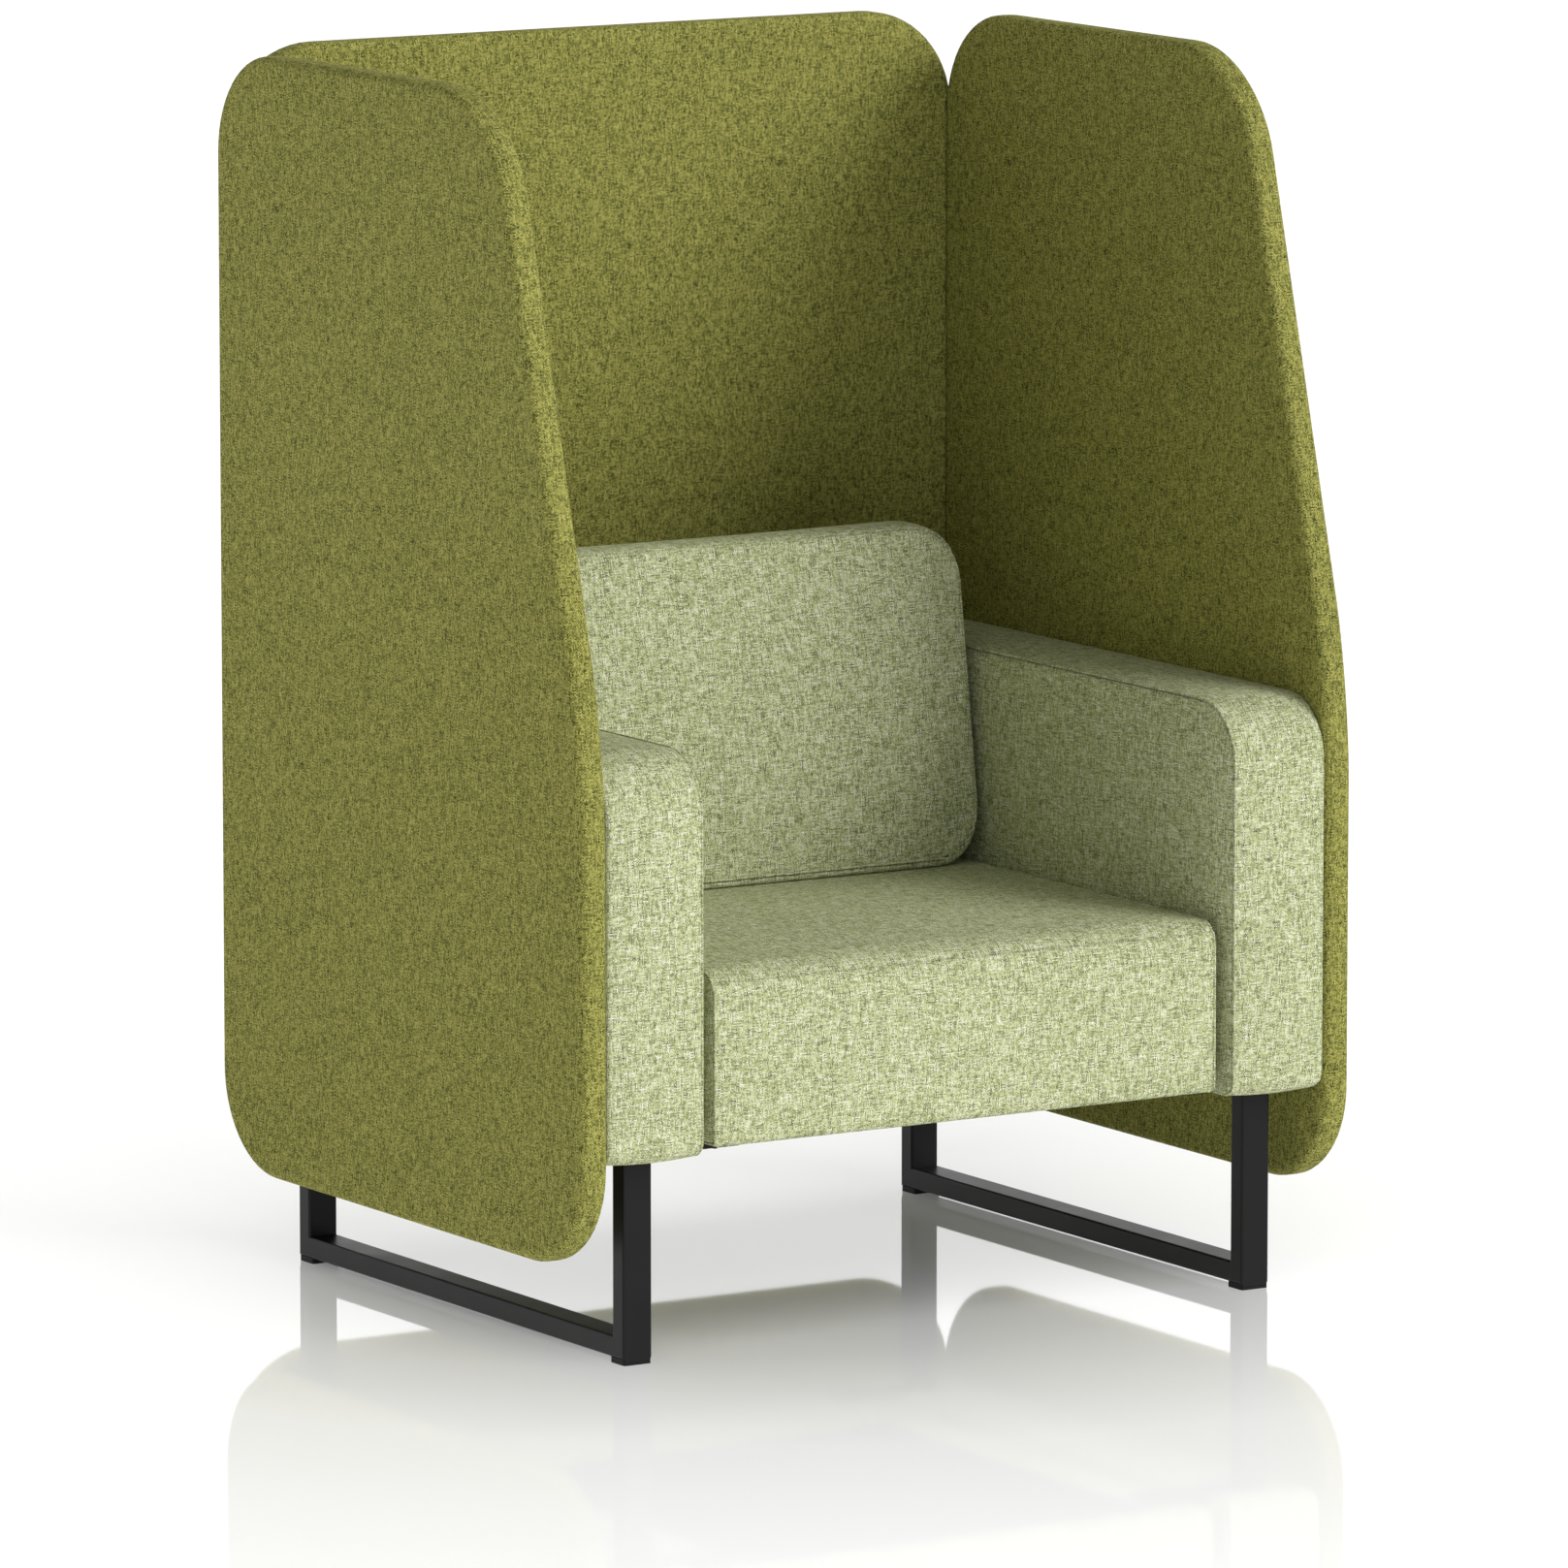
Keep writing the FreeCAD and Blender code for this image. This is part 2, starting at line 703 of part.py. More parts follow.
def seat_dust_cover():
    """Thin cloth stapled under the seat's rails, between the leg plates."""
    half = min(plate_inner, rail_half) - dust_cover_overlap
    low = [-half, rail_front + dust_cover_overlap, frame_underside - dust_cover_thickness]
    high = [half, seat_rear - dust_cover_overlap, frame_underside]
    return box_between(low, high)


def build_seat():
    """Rails, webbing, foam, cover and dust cover of the seat."""
    shapes = seat_rails()
    shapes["seat_webbing"] = seat_webbing()
    shapes["seat_foam"] = seat_foam()
    shapes["seat_cover"] = seat_cover()
    shapes["seat_dust_cover"] = seat_dust_cover()
    return shapes


# Back block and back cushion
def back_outline():
    """Corners of the back block, as depth and height, with its front leaning above the seat."""
    return [
        (back_front, block_underside),
        (rear_plane, block_underside),
        (rear_plane, arm_height),
        (back_front + back_lean, arm_height),
        (back_front, seat_height),
    ]


def back_carcass_outline(extra):
    """Outline of the back block's plywood box, or of its inside when extra is a panel's thickness."""
    insets = [plate_thickness, hidden_padding, top_padding, padding, padding]
    return inset_polygon(back_outline(), [inset + extra for inset in insets])


def back_carcass():
    """Glued plywood box inside the back block."""
    sharp = [0.0] * 5
    half = back_half - padding
    inside_half = half - carcass_panel
    box = prism_across(back_carcass_outline(0.0), sharp, -half, half)
    inside = prism_across(back_carcass_outline(carcass_panel), sharp, -inside_half, inside_half)
    cutters = plate_screw_holes()
    cutters += [bolt_hole(seat, BACK, screen_bolt_length) for seat in back_bolt_seats()]
    for seat in link_bolt_seats():
        cutters.append(tee_nut_hole(seat + BACK * link_bolt_length, BACK, carcass_panel))
    return box.cut(inside).cut(cutters)


def back_pad():
    """Padded cover of the back block, between the arms and behind the loose cushion."""
    radii = [heel_radius, heel_radius, back_rear_radius, back_front_radius, 0.0]
    seam = back_half - outer_edge_round
    side = [(back_half, outer_edge_round, 0.0), (seam, 0.0, 0.0)]
    band = [(seam, 0.0, 0.0), (0.0, 0.0, back_crown), (-seam, 0.0, 0.0)]
    other_side = [(-x, inset, crown) for x, inset, crown in side]
    pad = padded_block(back_outline(), radii, [0.0, 0.0, 1.0, 0.0, 0.0], [side, band, other_side])
    half = back_half - padding
    cavity = prism_across(back_carcass_outline(0.0), [0.0] * 5, -half, half)
    low = back_carcass_outline(0.0)[:2]
    mouth_low = [-half, low[0][0], block_underside - block_gap]
    mouth = box_between(mouth_low, [half, low[1][0], frame_underside])
    holes = [bolt_hole(seat, BACK, screen_bolt_length) for seat in back_bolt_seats()]
    holes += [bolt_hole(seat, BACK, link_bolt_length) for seat in link_bolt_seats()]
    return pad.cut([cavity, mouth] + holes + plate_notches())


def cushion_place(forward):
    """Places a drawing of width and slope length on the leaning cushion, forward of its rear face."""
    lean = Vector(0, math.sin(recline), math.cos(recline))
    out = Vector(0, -math.cos(recline), math.sin(recline))
    foot = Vector(0, cushion_rear, seat_height)
    return lambda point: foot + ACROSS * point.x + lean * point.y + out * forward


def cushion_section(forward, inset, bulge):
    """Outline of the back cushion at a distance in front of its rear face, flat on the seat."""
    seat_line = soft_gap / math.cos(recline) - forward * math.tan(recline)
    foot = seat_line + inset
    half = seat_half - inset
    corners = [(-half, foot), (half, foot), (half, cushion_height - inset), (-half, cushion_height - inset)]
    bottom = max(cushion_bottom_radius - inset, least_round)
    top = max(cushion_top_radius - inset, least_round)
    bows = [0.0, bulge - cushion_draw_in, bulge - cushion_draw_in, bulge - cushion_draw_in]
    return outline_wire(corners, [bottom, bottom, top, top], cushion_place(forward), bows)


def cushion_form():
    """Back cushion: a boxed side that swells between two seams, and a crowned front face."""
    front_seam = cushion_thickness - cushion_crown
    boxing = [
        cushion_section(0.0, 0.0, 0.0),
        cushion_section(front_seam / 2, 0.0, cushion_bulge),
        cushion_section(front_seam, 0.0, 0.0),
    ]
    face = [
        cushion_section(front_seam, 0.0, 0.0),
        cushion_section(cushion_thickness - cushion_crown * face_soft_share, face_soft_border, 0.0),
        cushion_section(cushion_thickness, face_flat_border, 0.0),
    ]
    return Part.makeLoft(boxing, True, False).fuse(Part.makeLoft(face, True, False))


def cushion_foam():
    """Foam slab inside the back cushion."""
    half = seat_half - face_soft_border
    corners = [
        (-half, face_soft_border),
        (half, face_soft_border),
        (half, cushion_height - face_soft_border),
        (-half, cushion_height - face_soft_border),
    ]
    wire = outline_wire(corners, [cushion_bottom_radius - face_soft_border] * 4, cushion_place(foam_border))
    forward = cushion_place(1.0)(ORIGIN) - cushion_place(0.0)(ORIGIN)
    slab_thickness = cushion_thickness - cushion_crown - 2 * foam_border
    return Part.Face(wire).extrude(forward * slab_thickness)


def build_back():
    """Carcass and cover of the back block, its link to the seat, and the loose cushion."""
    foam = cushion_foam()
    bolts = [headed_bolt(seat, BACK, link_bolt_length) for seat in link_bolt_seats()]
    nuts = [tee_nut(seat + BACK * link_bolt_length, BACK) for seat in link_bolt_seats()]
    return {
        "back_frame": back_carcass(),
        "back_pad": back_pad(),
        "back_cushion_foam": foam,
        "back_cushion_cover": cushion_form().cut(foam),
        "back_link_bolts": Part.makeCompound(bolts),
        "back_link_tee_nuts": Part.makeCompound(nuts),
    }


def main():
    """Builds every piece and writes each to its own file."""
    os.makedirs("parts", exist_ok=True)
    shapes = {}
    for build in (build_screens, build_sleds, build_arms, build_seat, build_back):
        shapes.update(build())
    for name, shape in shapes.items():
        shape.exportStep("parts/" + name + ".step")
        state = "valid" if shape.isValid() else "not valid"
        print(f"{name}: {len(shape.Solids)} solids, {shape.Volume:.0f} cubic mm, {state}")


main()
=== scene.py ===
"""Looks of a one-seat privacy booth sofa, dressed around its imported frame."""

import json
import logging
import math
from dataclasses import dataclass, field, replace
from enum import Enum
from typing import Callable, Sequence

import bpy
import numpy as np
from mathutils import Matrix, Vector
from mathutils.kdtree import KDTree


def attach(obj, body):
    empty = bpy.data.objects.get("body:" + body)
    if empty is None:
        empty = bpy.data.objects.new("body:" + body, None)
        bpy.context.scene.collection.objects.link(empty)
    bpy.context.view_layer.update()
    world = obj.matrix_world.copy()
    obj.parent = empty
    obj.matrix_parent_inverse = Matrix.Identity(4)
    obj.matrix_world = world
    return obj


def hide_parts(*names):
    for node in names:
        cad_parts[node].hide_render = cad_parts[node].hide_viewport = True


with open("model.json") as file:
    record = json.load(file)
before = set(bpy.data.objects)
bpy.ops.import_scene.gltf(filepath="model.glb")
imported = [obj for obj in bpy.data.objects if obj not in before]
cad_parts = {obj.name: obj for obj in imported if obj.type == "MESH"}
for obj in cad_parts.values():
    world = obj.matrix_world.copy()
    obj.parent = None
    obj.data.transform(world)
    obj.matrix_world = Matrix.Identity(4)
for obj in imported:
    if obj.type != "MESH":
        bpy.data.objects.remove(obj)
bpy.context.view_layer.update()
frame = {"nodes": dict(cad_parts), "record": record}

log = logging.getLogger("booth")

Piece = bpy.types.Object
Point = tuple[float, float, float]
Colour = tuple[float, float, float, float]
Ramp = tuple[tuple[float, Colour], ...]
Noise = tuple[float, float]
WHITE: Colour = (1.0, 1.0, 1.0, 1.0)
WEAVE_MAP = "weave"
# Point attribute that holds painted shade along the seams: a dark line in each furrow and a softer
# painted shade beside it.
PAINTED_SEAM_SHADE = "crease"
BODY = "root"
TINY = 1e-9
FACING = 0.7
UPWARD = 0.5
LIP_SHIFT = 0.0028


class Side(Enum):
    """Which side of the booth a piece is on."""

    LEFT = -1
    RIGHT = 1

    @property
    def word(self) -> str:
        """The side's name as the frame's nodes spell it."""
        return self.name.lower()


class Pick(Enum):
    """What edit mode selects, as flags for vertices, edges and faces."""

    EDGES = (False, True, False)
    FACES = (False, False, True)


def math_method(operation: str, swap: bool = False) -> Callable[..., "Shade"]:
    """Make a method of Shade that adds a Math node.

    Args:
        operation: What the node does.
        swap: Whether the shade comes second, after a plain number.

    Returns:
        The method, which takes the other value if the operation has one.
    """
    def method(shade: "Shade", *other: object) -> "Shade":
        """Add the node for the shade and the other value."""
        values = (*other, shade) if swap else (shade, *other)
        return shade.tree.node("ShaderNodeMath", {"operation": operation}, dict(enumerate(values)))

    return method


class Shade:
    """A shader socket that can be used in Python expressions."""

    def __init__(self, tree: "ShaderTree", socket: bpy.types.NodeSocket) -> None:
        """Wrap an output socket of a tree."""
        self.tree = tree
        self.socket = socket

    __add__ = math_method("ADD")
    __radd__ = math_method("ADD", swap=True)
    __sub__ = math_method("SUBTRACT")
    __rsub__ = math_method("SUBTRACT", swap=True)
    __mul__ = math_method("MULTIPLY")
    __rmul__ = math_method("MULTIPLY", swap=True)
    __truediv__ = math_method("DIVIDE")
    __lt__ = math_method("LESS_THAN")
    modulo = math_method("FLOORED_MODULO")
    floor = math_method("FLOOR")
    sine = math_method("SINE")
    absolute = math_method("ABSOLUTE")


class ShaderTree:
    """Node tree of a material or a world, with one way to add nodes."""

    def __init__(self, owner: bpy.types.Material | bpy.types.World) -> None:
        """Open the tree of a new material or world.

        Args:
            owner: The material with its Principled shader, or the world with its Background.
        """
        owner.use_nodes = True
        self.owner = owner
        self.nodes = owner.node_tree.nodes
        self.links = owner.node_tree.links
        kinds = ("BSDF_PRINCIPLED", "BACKGROUND")
        self.shader = next(node for node in self.nodes if node.type in kinds)

    def node(self, kind: str, settings: dict | None = None, sockets: dict | None = None,
             output: int | str = 0) -> Shade:
        """Add any node.

        Args:
            kind: The node's type name.
            settings: Properties of the node; the key ramp takes (place, colour) stops.
            sockets: Values or links by socket name or number.
            output: The output that the result stands for.

        Returns:
            The chosen output.
        """
        made = self.nodes.new(kind)
        for key, value in (settings or {}).items():
            if key == "ramp":
                self._set_ramp(made.color_ramp, value)
            else:
                setattr(made, key, value)
        for key, value in (sockets or {}).items():
            self.feed(made.inputs[key], value)
        return Shade(self, made.outputs[output])

    def feed(self, socket: bpy.types.NodeSocket, value: object) -> None:
        """Fill a socket.

        Args:
            socket: The socket to fill.
            value: A Shade to link, or a plain value.
        """
        if isinstance(value, Shade):
            self.links.new(value.socket, socket)
        else:
            socket.default_value = value

    @staticmethod
    def _set_ramp(ramp: bpy.types.ColorRamp, stops: Ramp) -> None:
        """Give a colour ramp its stops.

        Args:
            ramp: The ramp of a new node.
            stops: Places and colours.
        """
        while len(ramp.elements) < len(stops):
            ramp.elements.new(0.5)
        for element, (place, colour) in zip(ramp.elements, stops):
            element.position = place
            element.color = colour

    def place(self) -> Shade:
        """Place on the piece, in metres."""
        return self.node("ShaderNodeTexCoord", output="Object")

    def noise(self, place: Shade, scale: float, detail: float) -> Shade:
        """Values about a half, of the scale and detail that a Noise gives."""
        sockets = {"Vector": place, "Scale": scale, "Detail": detail}
        return self.node("ShaderNodeTexNoise", {}, sockets)

    def remap(self, value: Shade, low: object, high: object, start: float = 0.0,
              stop: float = 1.0) -> Shade:
        """Stretch the range from start to stop to the one from low to high."""
        return self.node("ShaderNodeMapRange", {}, {0: value, 1: start, 2: stop, 3: low, 4: high})

    def bump(self, height: Shade, strength: float, distance: float) -> Shade:
        """Normal of a surface raised by a height."""
        sockets = {"Height": height, "Strength": strength, "Distance": distance}
        return self.node("ShaderNodeBump", {}, sockets)

    def mix(self, factor: object, first: object, second: object, blend: str = "MIX") -> Shade:
        """Blend the second colour into the first by a factor."""
        settings = {"data_type": "RGBA", "blend_type": blend}
        return self.node("ShaderNodeMix", settings, {0: factor, 6: first, 7: second}, 2)

    def finish(self, **sockets: object) -> bpy.types.Material | bpy.types.World:
        """Feed the shader and hand back its owner.

        Args:
            sockets: Values or links by socket name, with _ for spaces.

        Returns:
            The finished material or world.
        """
        for name, value in sockets.items():
            self.feed(self.shader.inputs[name.replace("_", " ")], value)
        return self.owner


def srgb(red: int, green: int, blue: int, level: float = 1.0) -> Colour:
    """Linear colour of an eight-bit screen colour.

    Args:
        red: Red from 0 to 255.
        green: Green from 0 to 255.
        blue: Blue from 0 to 255.
        level: Factor that dims or lifts it.

    Returns:
        The colour with full alpha.
    """
    parts = []
    for value in (red / 255, green / 255, blue / 255):
        linear = value / 12.92 if value <= 0.04045 else ((value + 0.055) / 1.055) ** 2.4
        parts.append(linear * level)
    return (*parts, 1.0)


@dataclass(frozen=True)
class WovenCloth:
    """Threads of a cloth, drawn on a piece's weave map in metres."""

    name: str
    pitch: float
    warp: Ramp
    weft: Ramp
    slub: float
    fleck: float
    mottle: float
    streak: float
    relief: float
    roughness: float
    specular: float = 0.1
    # Painted shade in the furrows between threads: how much darker they are than the thread tops.
    painted_furrow_shade: float = 0.3
    # How much the painted shade stored along the seams darkens the cloth.
    painted_seam_darkening: float = 0.55
    weft_height: float = 0.55
    fleck_height: float = 0.2
    thread_height: float = 0.4
    clouds: Noise = (55.0, 4.0)
    streaks: Noise = (40.0, 3.0)
    slubs: Noise = (1.0, 2.0)
    streak_shape: Point = (9.0, 1.0, 1.0)
    thread_step: float = 7.31
    seeds: Point = (11.0, 47.0, 5.0)

    def material(self) -> bpy.types.Material:
        """Build the cloth's material.

        Returns:
            The material, with weave, slubs, mottling, painted shade in the furrows between threads
            and painted shade along the seams.
        """
        tree = ShaderTree(bpy.data.materials.new(self.name))
        place = tree.node("ShaderNodeUVMap", {"uv_map": WEAVE_MAP}, output="UV")
        across, along = [tree.node("ShaderNodeSeparateXYZ", {}, {0: place}, axis)
                         for axis in ("X", "Y")]
        column = across / self.pitch
        row = along / self.pitch
        column_number = column.floor()
        row_number = row.floor()
        warp_on_top = (column_number + row_number).modulo(2.0) < 0.5
        warp_seed, weft_seed, speck_seed = self.seeds
        numbers = {0: column_number, 1: row_number, 2: speck_seed}
        cell = tree.node("ShaderNodeCombineXYZ", {}, numbers)
        speck = tree.node("ShaderNodeTexWhiteNoise", {"noise_dimensions": "3D"}, {"Vector": cell},
                          "Value")
        fleck = (speck - 0.5) * self.fleck
        warp_tone = self._thread_tone(tree, column_number, along, warp_seed) + fleck
        weft_tone = self._thread_tone(tree, row_number, across, weft_seed) + fleck
        warp_colour = tree.node("ShaderNodeValToRGB", {"ramp": self.warp}, {0: warp_tone})
        weft_colour = tree.node("ShaderNodeValToRGB", {"ramp": self.weft}, {0: weft_tone})
        woven = tree.mix(warp_on_top, weft_colour, warp_colour)
        gap = self._gap(column) * self._gap(row)
        # Painted shade along the seams, read from the vertices, darkens the colour below.
        crease = tree.node("ShaderNodeAttribute", {"attribute_name": PAINTED_SEAM_SHADE}, output="Fac")
        # Mottling, times painted shade in the furrows between threads.
        shade = self._mottling(tree, place) * (1.0 - self.painted_furrow_shade + self.painted_furrow_shade * gap)
        shade = shade * (1.0 - self.painted_seam_darkening * crease)
        height = gap * (self.weft_height + (1.0 - self.weft_height) * warp_on_top)
        bump = tree.bump(height + speck * self.fleck_height, self.relief,
                         self.pitch * self.thread_height)
        return tree.finish(Base_Color=tree.mix(1.0, woven, shade, "MULTIPLY"), Normal=bump,
                           Roughness=self.roughness, Specular_IOR_Level=self.specular)

    def _thread_tone(self, tree: ShaderTree, number: Shade, length: Shade, seed: float) -> Shade:
        """Tone of a thread that wanders along its length.

        Args:
            tree: The material's tree.
            number: Which thread it is.
            length: Distance along the thread.
            seed: Keeps warp and weft apart.

        Returns:
            A value about a half that changes slowly along each thread.
        """
        sockets = {0: number * self.thread_step, 1: length / self.slub, 2: seed}
        spot = tree.node("ShaderNodeCombineXYZ", {}, sockets)
        return tree.noise(spot, *self.slubs)

    def _mottling(self, tree: ShaderTree, place: Shade) -> Shade:
        """Uneven dye: soft clouds and streaks that run up the cloth.

        Args:
            tree: The material's tree.
            place: The weave map.

        Returns:
            A factor about one.
        """
        cloud = tree.noise(place, *self.clouds)
        drawn = tree.node("ShaderNodeMapping", {}, {"Vector": place, "Scale": self.streak_shape})
        streak = tree.noise(drawn, *self.streaks)
        return 1.0 + (cloud - 0.5) * self.mottle + (streak - 0.5) * self.streak

    @staticmethod
    def _gap(threads: Shade) -> Shade:
        """Falls towards zero in the furrow between two threads."""
        return (threads * math.pi).sine().absolute()


@dataclass(frozen=True)
class Finish:
    """A plain surface: broad noise varies its tone and roughness, and fine noise is its relief."""

    name: str
    dark: Colour
    light: Colour
    roughness: float
    broad: Noise
    fine: Noise | None = None
    relief: float = 0.0
    depth: float = 0.0005
    wear: float = 0.0
    metallic: float = 0.0
    specular: float = 0.5
    stretch: Point = (1.0, 1.0, 1.0)

    def material(self) -> bpy.types.Material:
        """Build the finish's material.

        Returns:
            The material.
        """
        tree = ShaderTree(bpy.data.materials.new(self.name))
        sockets = {"Vector": tree.place(), "Scale": self.stretch}
        place = tree.node("ShaderNodeMapping", {}, sockets)
        broad = tree.noise(place, *self.broad)
        fine = tree.noise(place, *(self.fine or self.broad))
        return tree.finish(Base_Color=tree.mix(broad, self.dark, self.light),
                           Roughness=self.roughness + (broad - 0.5) * self.wear,
                           Normal=tree.bump(fine, self.relief, self.depth),
                           Metallic=self.metallic, Specular_IOR_Level=self.specular)


SCREEN_CLOTH = WovenCloth(
    name="screen_cloth", pitch=0.0016,
    warp=((0.26, srgb(66, 70, 31)), (0.42, srgb(128, 129, 60)), (0.54, srgb(169, 167, 84)),
          (0.72, srgb(205, 199, 110))),
    weft=((0.26, srgb(56, 60, 31)), (0.42, srgb(104, 107, 55)), (0.54, srgb(135, 136, 74)),
          (0.72, srgb(166, 163, 93))),
    slub=0.013, fleck=0.26, mottle=0.06, streak=0.06, relief=0.25, roughness=0.9)
SEAT_CLOTH = WovenCloth(
    name="seat_cloth", pitch=0.0015,
    warp=((0.26, srgb(92, 97, 84)), (0.42, srgb(154, 162, 108)), (0.54, srgb(207, 211, 152)),
          (0.72, srgb(243, 243, 224))),
    weft=((0.26, srgb(96, 102, 90)), (0.42, srgb(152, 159, 118)), (0.54, srgb(197, 203, 158)),
          (0.72, srgb(239, 241, 228))),
    slub=0.016, fleck=0.2, mottle=0.08, streak=0.05, relief=0.3, roughness=0.92)
PAINT = Finish(
    "black_powder_coat", srgb(17, 17, 18, 0.9), srgb(17, 17, 18, 1.15), roughness=0.36,
    broad=(18.0, 3.0), fine=(1400.0, 2.0), relief=0.12, depth=0.0002, wear=0.12, specular=0.18)
ZINC = Finish(
    "zinc_plate", srgb(190, 190, 184), srgb(190, 190, 184), roughness=0.35, broad=(260.0, 4.0),
    wear=0.2, metallic=1.0)
PLYWOOD = Finish(
    "plywood", srgb(170, 132, 92), srgb(214, 184, 140), roughness=0.62, broad=(6.0, 6.0),
    relief=0.15, stretch=(1.5, 14.0, 14.0))
FOAM = Finish(
    "cut_foam", srgb(226, 216, 182, 0.7), srgb(226, 216, 182, 1.3), roughness=0.9,
    broad=(900.0, 4.0), relief=0.3, depth=0.0006)
FINISHES = {
    "black_paint": PAINT,
    "black_plastic": replace(
        PAINT, name="black_moulded_plastic", dark=srgb(16, 16, 17, 0.9),
        light=srgb(16, 16, 17, 1.15), roughness=0.5, relief=0.2),
    "zinc_steel": ZINC,
    "black_steel": replace(
        ZINC, name="blackened_steel", dark=srgb(44, 44, 46), light=srgb(44, 44, 46),
        roughness=0.45, metallic=0.6),
    "plywood": PLYWOOD,
    "beech": replace(
        PLYWOOD, name="beech", dark=srgb(168, 120, 82), light=srgb(206, 164, 122),
        broad=(9.0, 6.0)),
    "foam": FOAM,
    "webbing": replace(
        FOAM, name="webbing", dark=srgb(60, 60, 62, 0.7), light=srgb(60, 60, 62, 1.3),
        broad=(1500.0, 4.0)),
    "dust_cloth": replace(
        FOAM, name="dust_cloth", dark=srgb(34, 34, 36, 0.7), light=srgb(34, 34, 36, 1.3),
        broad=(2200.0, 4.0)),
}


class Bench:
    """Bench work on one piece at a time with Blender's operators."""

    @staticmethod
    def clear() -> None:
        """Leave edit mode and deselect everything."""
        if bpy.context.object and bpy.context.object.mode != "OBJECT":
            bpy.ops.object.mode_set(mode="OBJECT")
        bpy.ops.object.select_all(action="DESELECT")

    @staticmethod
    def take(piece: Piece) -> None:
        """Make a piece the only one in hand.

        Args:
            piece: The piece to take.
        """
        Bench.clear()
        piece.select_set(True)
        bpy.context.view_layer.objects.active = piece

    @staticmethod
    def block(name: str, low: Point, high: Point) -> Piece:
        """Add a block between two corners.

        Args:
            name: The piece's name.
            low: Its lowest corner.
            high: Its highest corner.

        Returns:
            The new piece at the origin, with its place in its mesh.
        """
        Bench.clear()
        centre = [(a + b) / 2 for a, b in zip(low, high)]
        bpy.ops.mesh.primitive_cube_add(size=1.0, location=centre)
        piece = bpy.context.object
        piece.name = name
        piece.data.name = name
        piece.scale = [b - a for a, b in zip(low, high)]
        bpy.ops.object.transform_apply(location=True, rotation=True, scale=True)
        return piece

    @staticmethod
    def _bare(piece: Piece, pick: Pick) -> bpy.types.Mesh:
        """Take a piece with nothing on it selected.

        Args:
            piece: The piece to take.
            pick: What is to be selected on it.

        Returns:
            The piece's mesh.
        """
        Bench.take(piece)
        mesh = piece.data
        bpy.context.tool_settings.mesh_select_mode = pick.value
        for group in (mesh.vertices, mesh.edges, mesh.polygons):
            group.foreach_set("select", [False] * len(group))
        return mesh

    @staticmethod
    def edit_faces(piece: Piece, test: Callable[[bpy.types.MeshPolygon], bool]) -> None:
        """Open a piece in edit mode with the faces that pass a test selected.

        Args:
            piece: The piece to open.
            test: Takes a face.
        """
        for face in Bench._bare(piece, Pick.FACES).polygons:
            face.select = test(face)
        bpy.ops.object.mode_set(mode="EDIT")

    @staticmethod
    def round_edges(piece: Piece, test: Callable[[Vector, Vector], bool], reach: float,
                    segments: int) -> None:
        """Bevel the edges that pass a test into arcs.

        Args:
            piece: The piece to shape.
            test: Takes an edge's two ends.
            reach: Distance from the old edge to where the arc starts.
            segments: Steps in the arc.
        """
        mesh = Bench._bare(piece, Pick.EDGES)
        for edge in mesh.edges:
            edge.select = test(*[mesh.vertices[index].co for index in edge.vertices])
        bpy.ops.object.mode_set(mode="EDIT")
        bpy.ops.mesh.bevel(offset=reach, offset_type="OFFSET", segments=segments, profile=0.5,
                           affect="EDGES", clamp_overlap=False)
        bpy.ops.object.mode_set(mode="OBJECT")

    @staticmethod
    def round_corners(piece: Piece, along: int,
                      turns: Sequence[tuple[float, float, float, int]]) -> None:
        """Round the corners of an upright outline, each by its own arc.

        Args:
            piece: The piece to shape.
            along: The outline's level axis.
            turns: Place, height, reach and steps of each corner's arc.
        """
        for place, height, reach, steps in turns:
            Bench.round_edges(
                piece, lambda *ends: all(near(end[along], place) and near(end.z, height)
                                         for end in ends), reach, steps)

    @staticmethod
    def slice_off(piece: Piece, at: Point, outward: Point) -> None:
        """Cut away all that lies beyond a plane and close the cut.

        Args:
            piece: The piece to cut.
            at: A point of the plane.
            outward: The plane's normal, towards what goes.
        """
        Bench.take(piece)
        bpy.ops.object.mode_set(mode="EDIT")
        bpy.ops.mesh.select_all(action="SELECT")
        bpy.ops.mesh.bisect(plane_co=at, plane_no=outward, use_fill=True, clear_outer=True)
        bpy.ops.object.mode_set(mode="OBJECT")

    @staticmethod
    def _rows(piece: Piece, what: str) -> np.ndarray:
        """Read a vector at each of a piece's vertices.

        Args:
            piece: The piece to read.
            what: The vertices' property.

        Returns:
            One row for each vertex.
        """
        flat = np.zeros(len(piece.data.vertices) * 3)
        piece.data.vertices.foreach_get(what, flat)
        return flat.reshape(-1, 3)

    @staticmethod
    def points(piece: Piece) -> np.ndarray:
        """Places of all the piece's vertices, one row each."""
        return Bench._rows(piece, "co")

    @staticmethod
    def normals(piece: Piece) -> np.ndarray:
        """Outward directions at all the piece's vertices, one row each."""
        return Bench._rows(piece, "normal")

    @staticmethod
    def put_points(piece: Piece, points: np.ndarray) -> None:
        """Move all the piece's vertices."""
        piece.data.vertices.foreach_set("co", points.ravel())
        piece.data.update()

    @staticmethod
    def smooth(piece: Piece) -> None:
        """Shade a piece smooth."""
        Bench.take(piece)
        bpy.ops.object.shade_smooth()

    @staticmethod
    def paint(piece: Piece, material: bpy.types.Material) -> None:
        """Make a material a piece's only one."""
        piece.data.materials.clear()
        piece.data.materials.append(material)

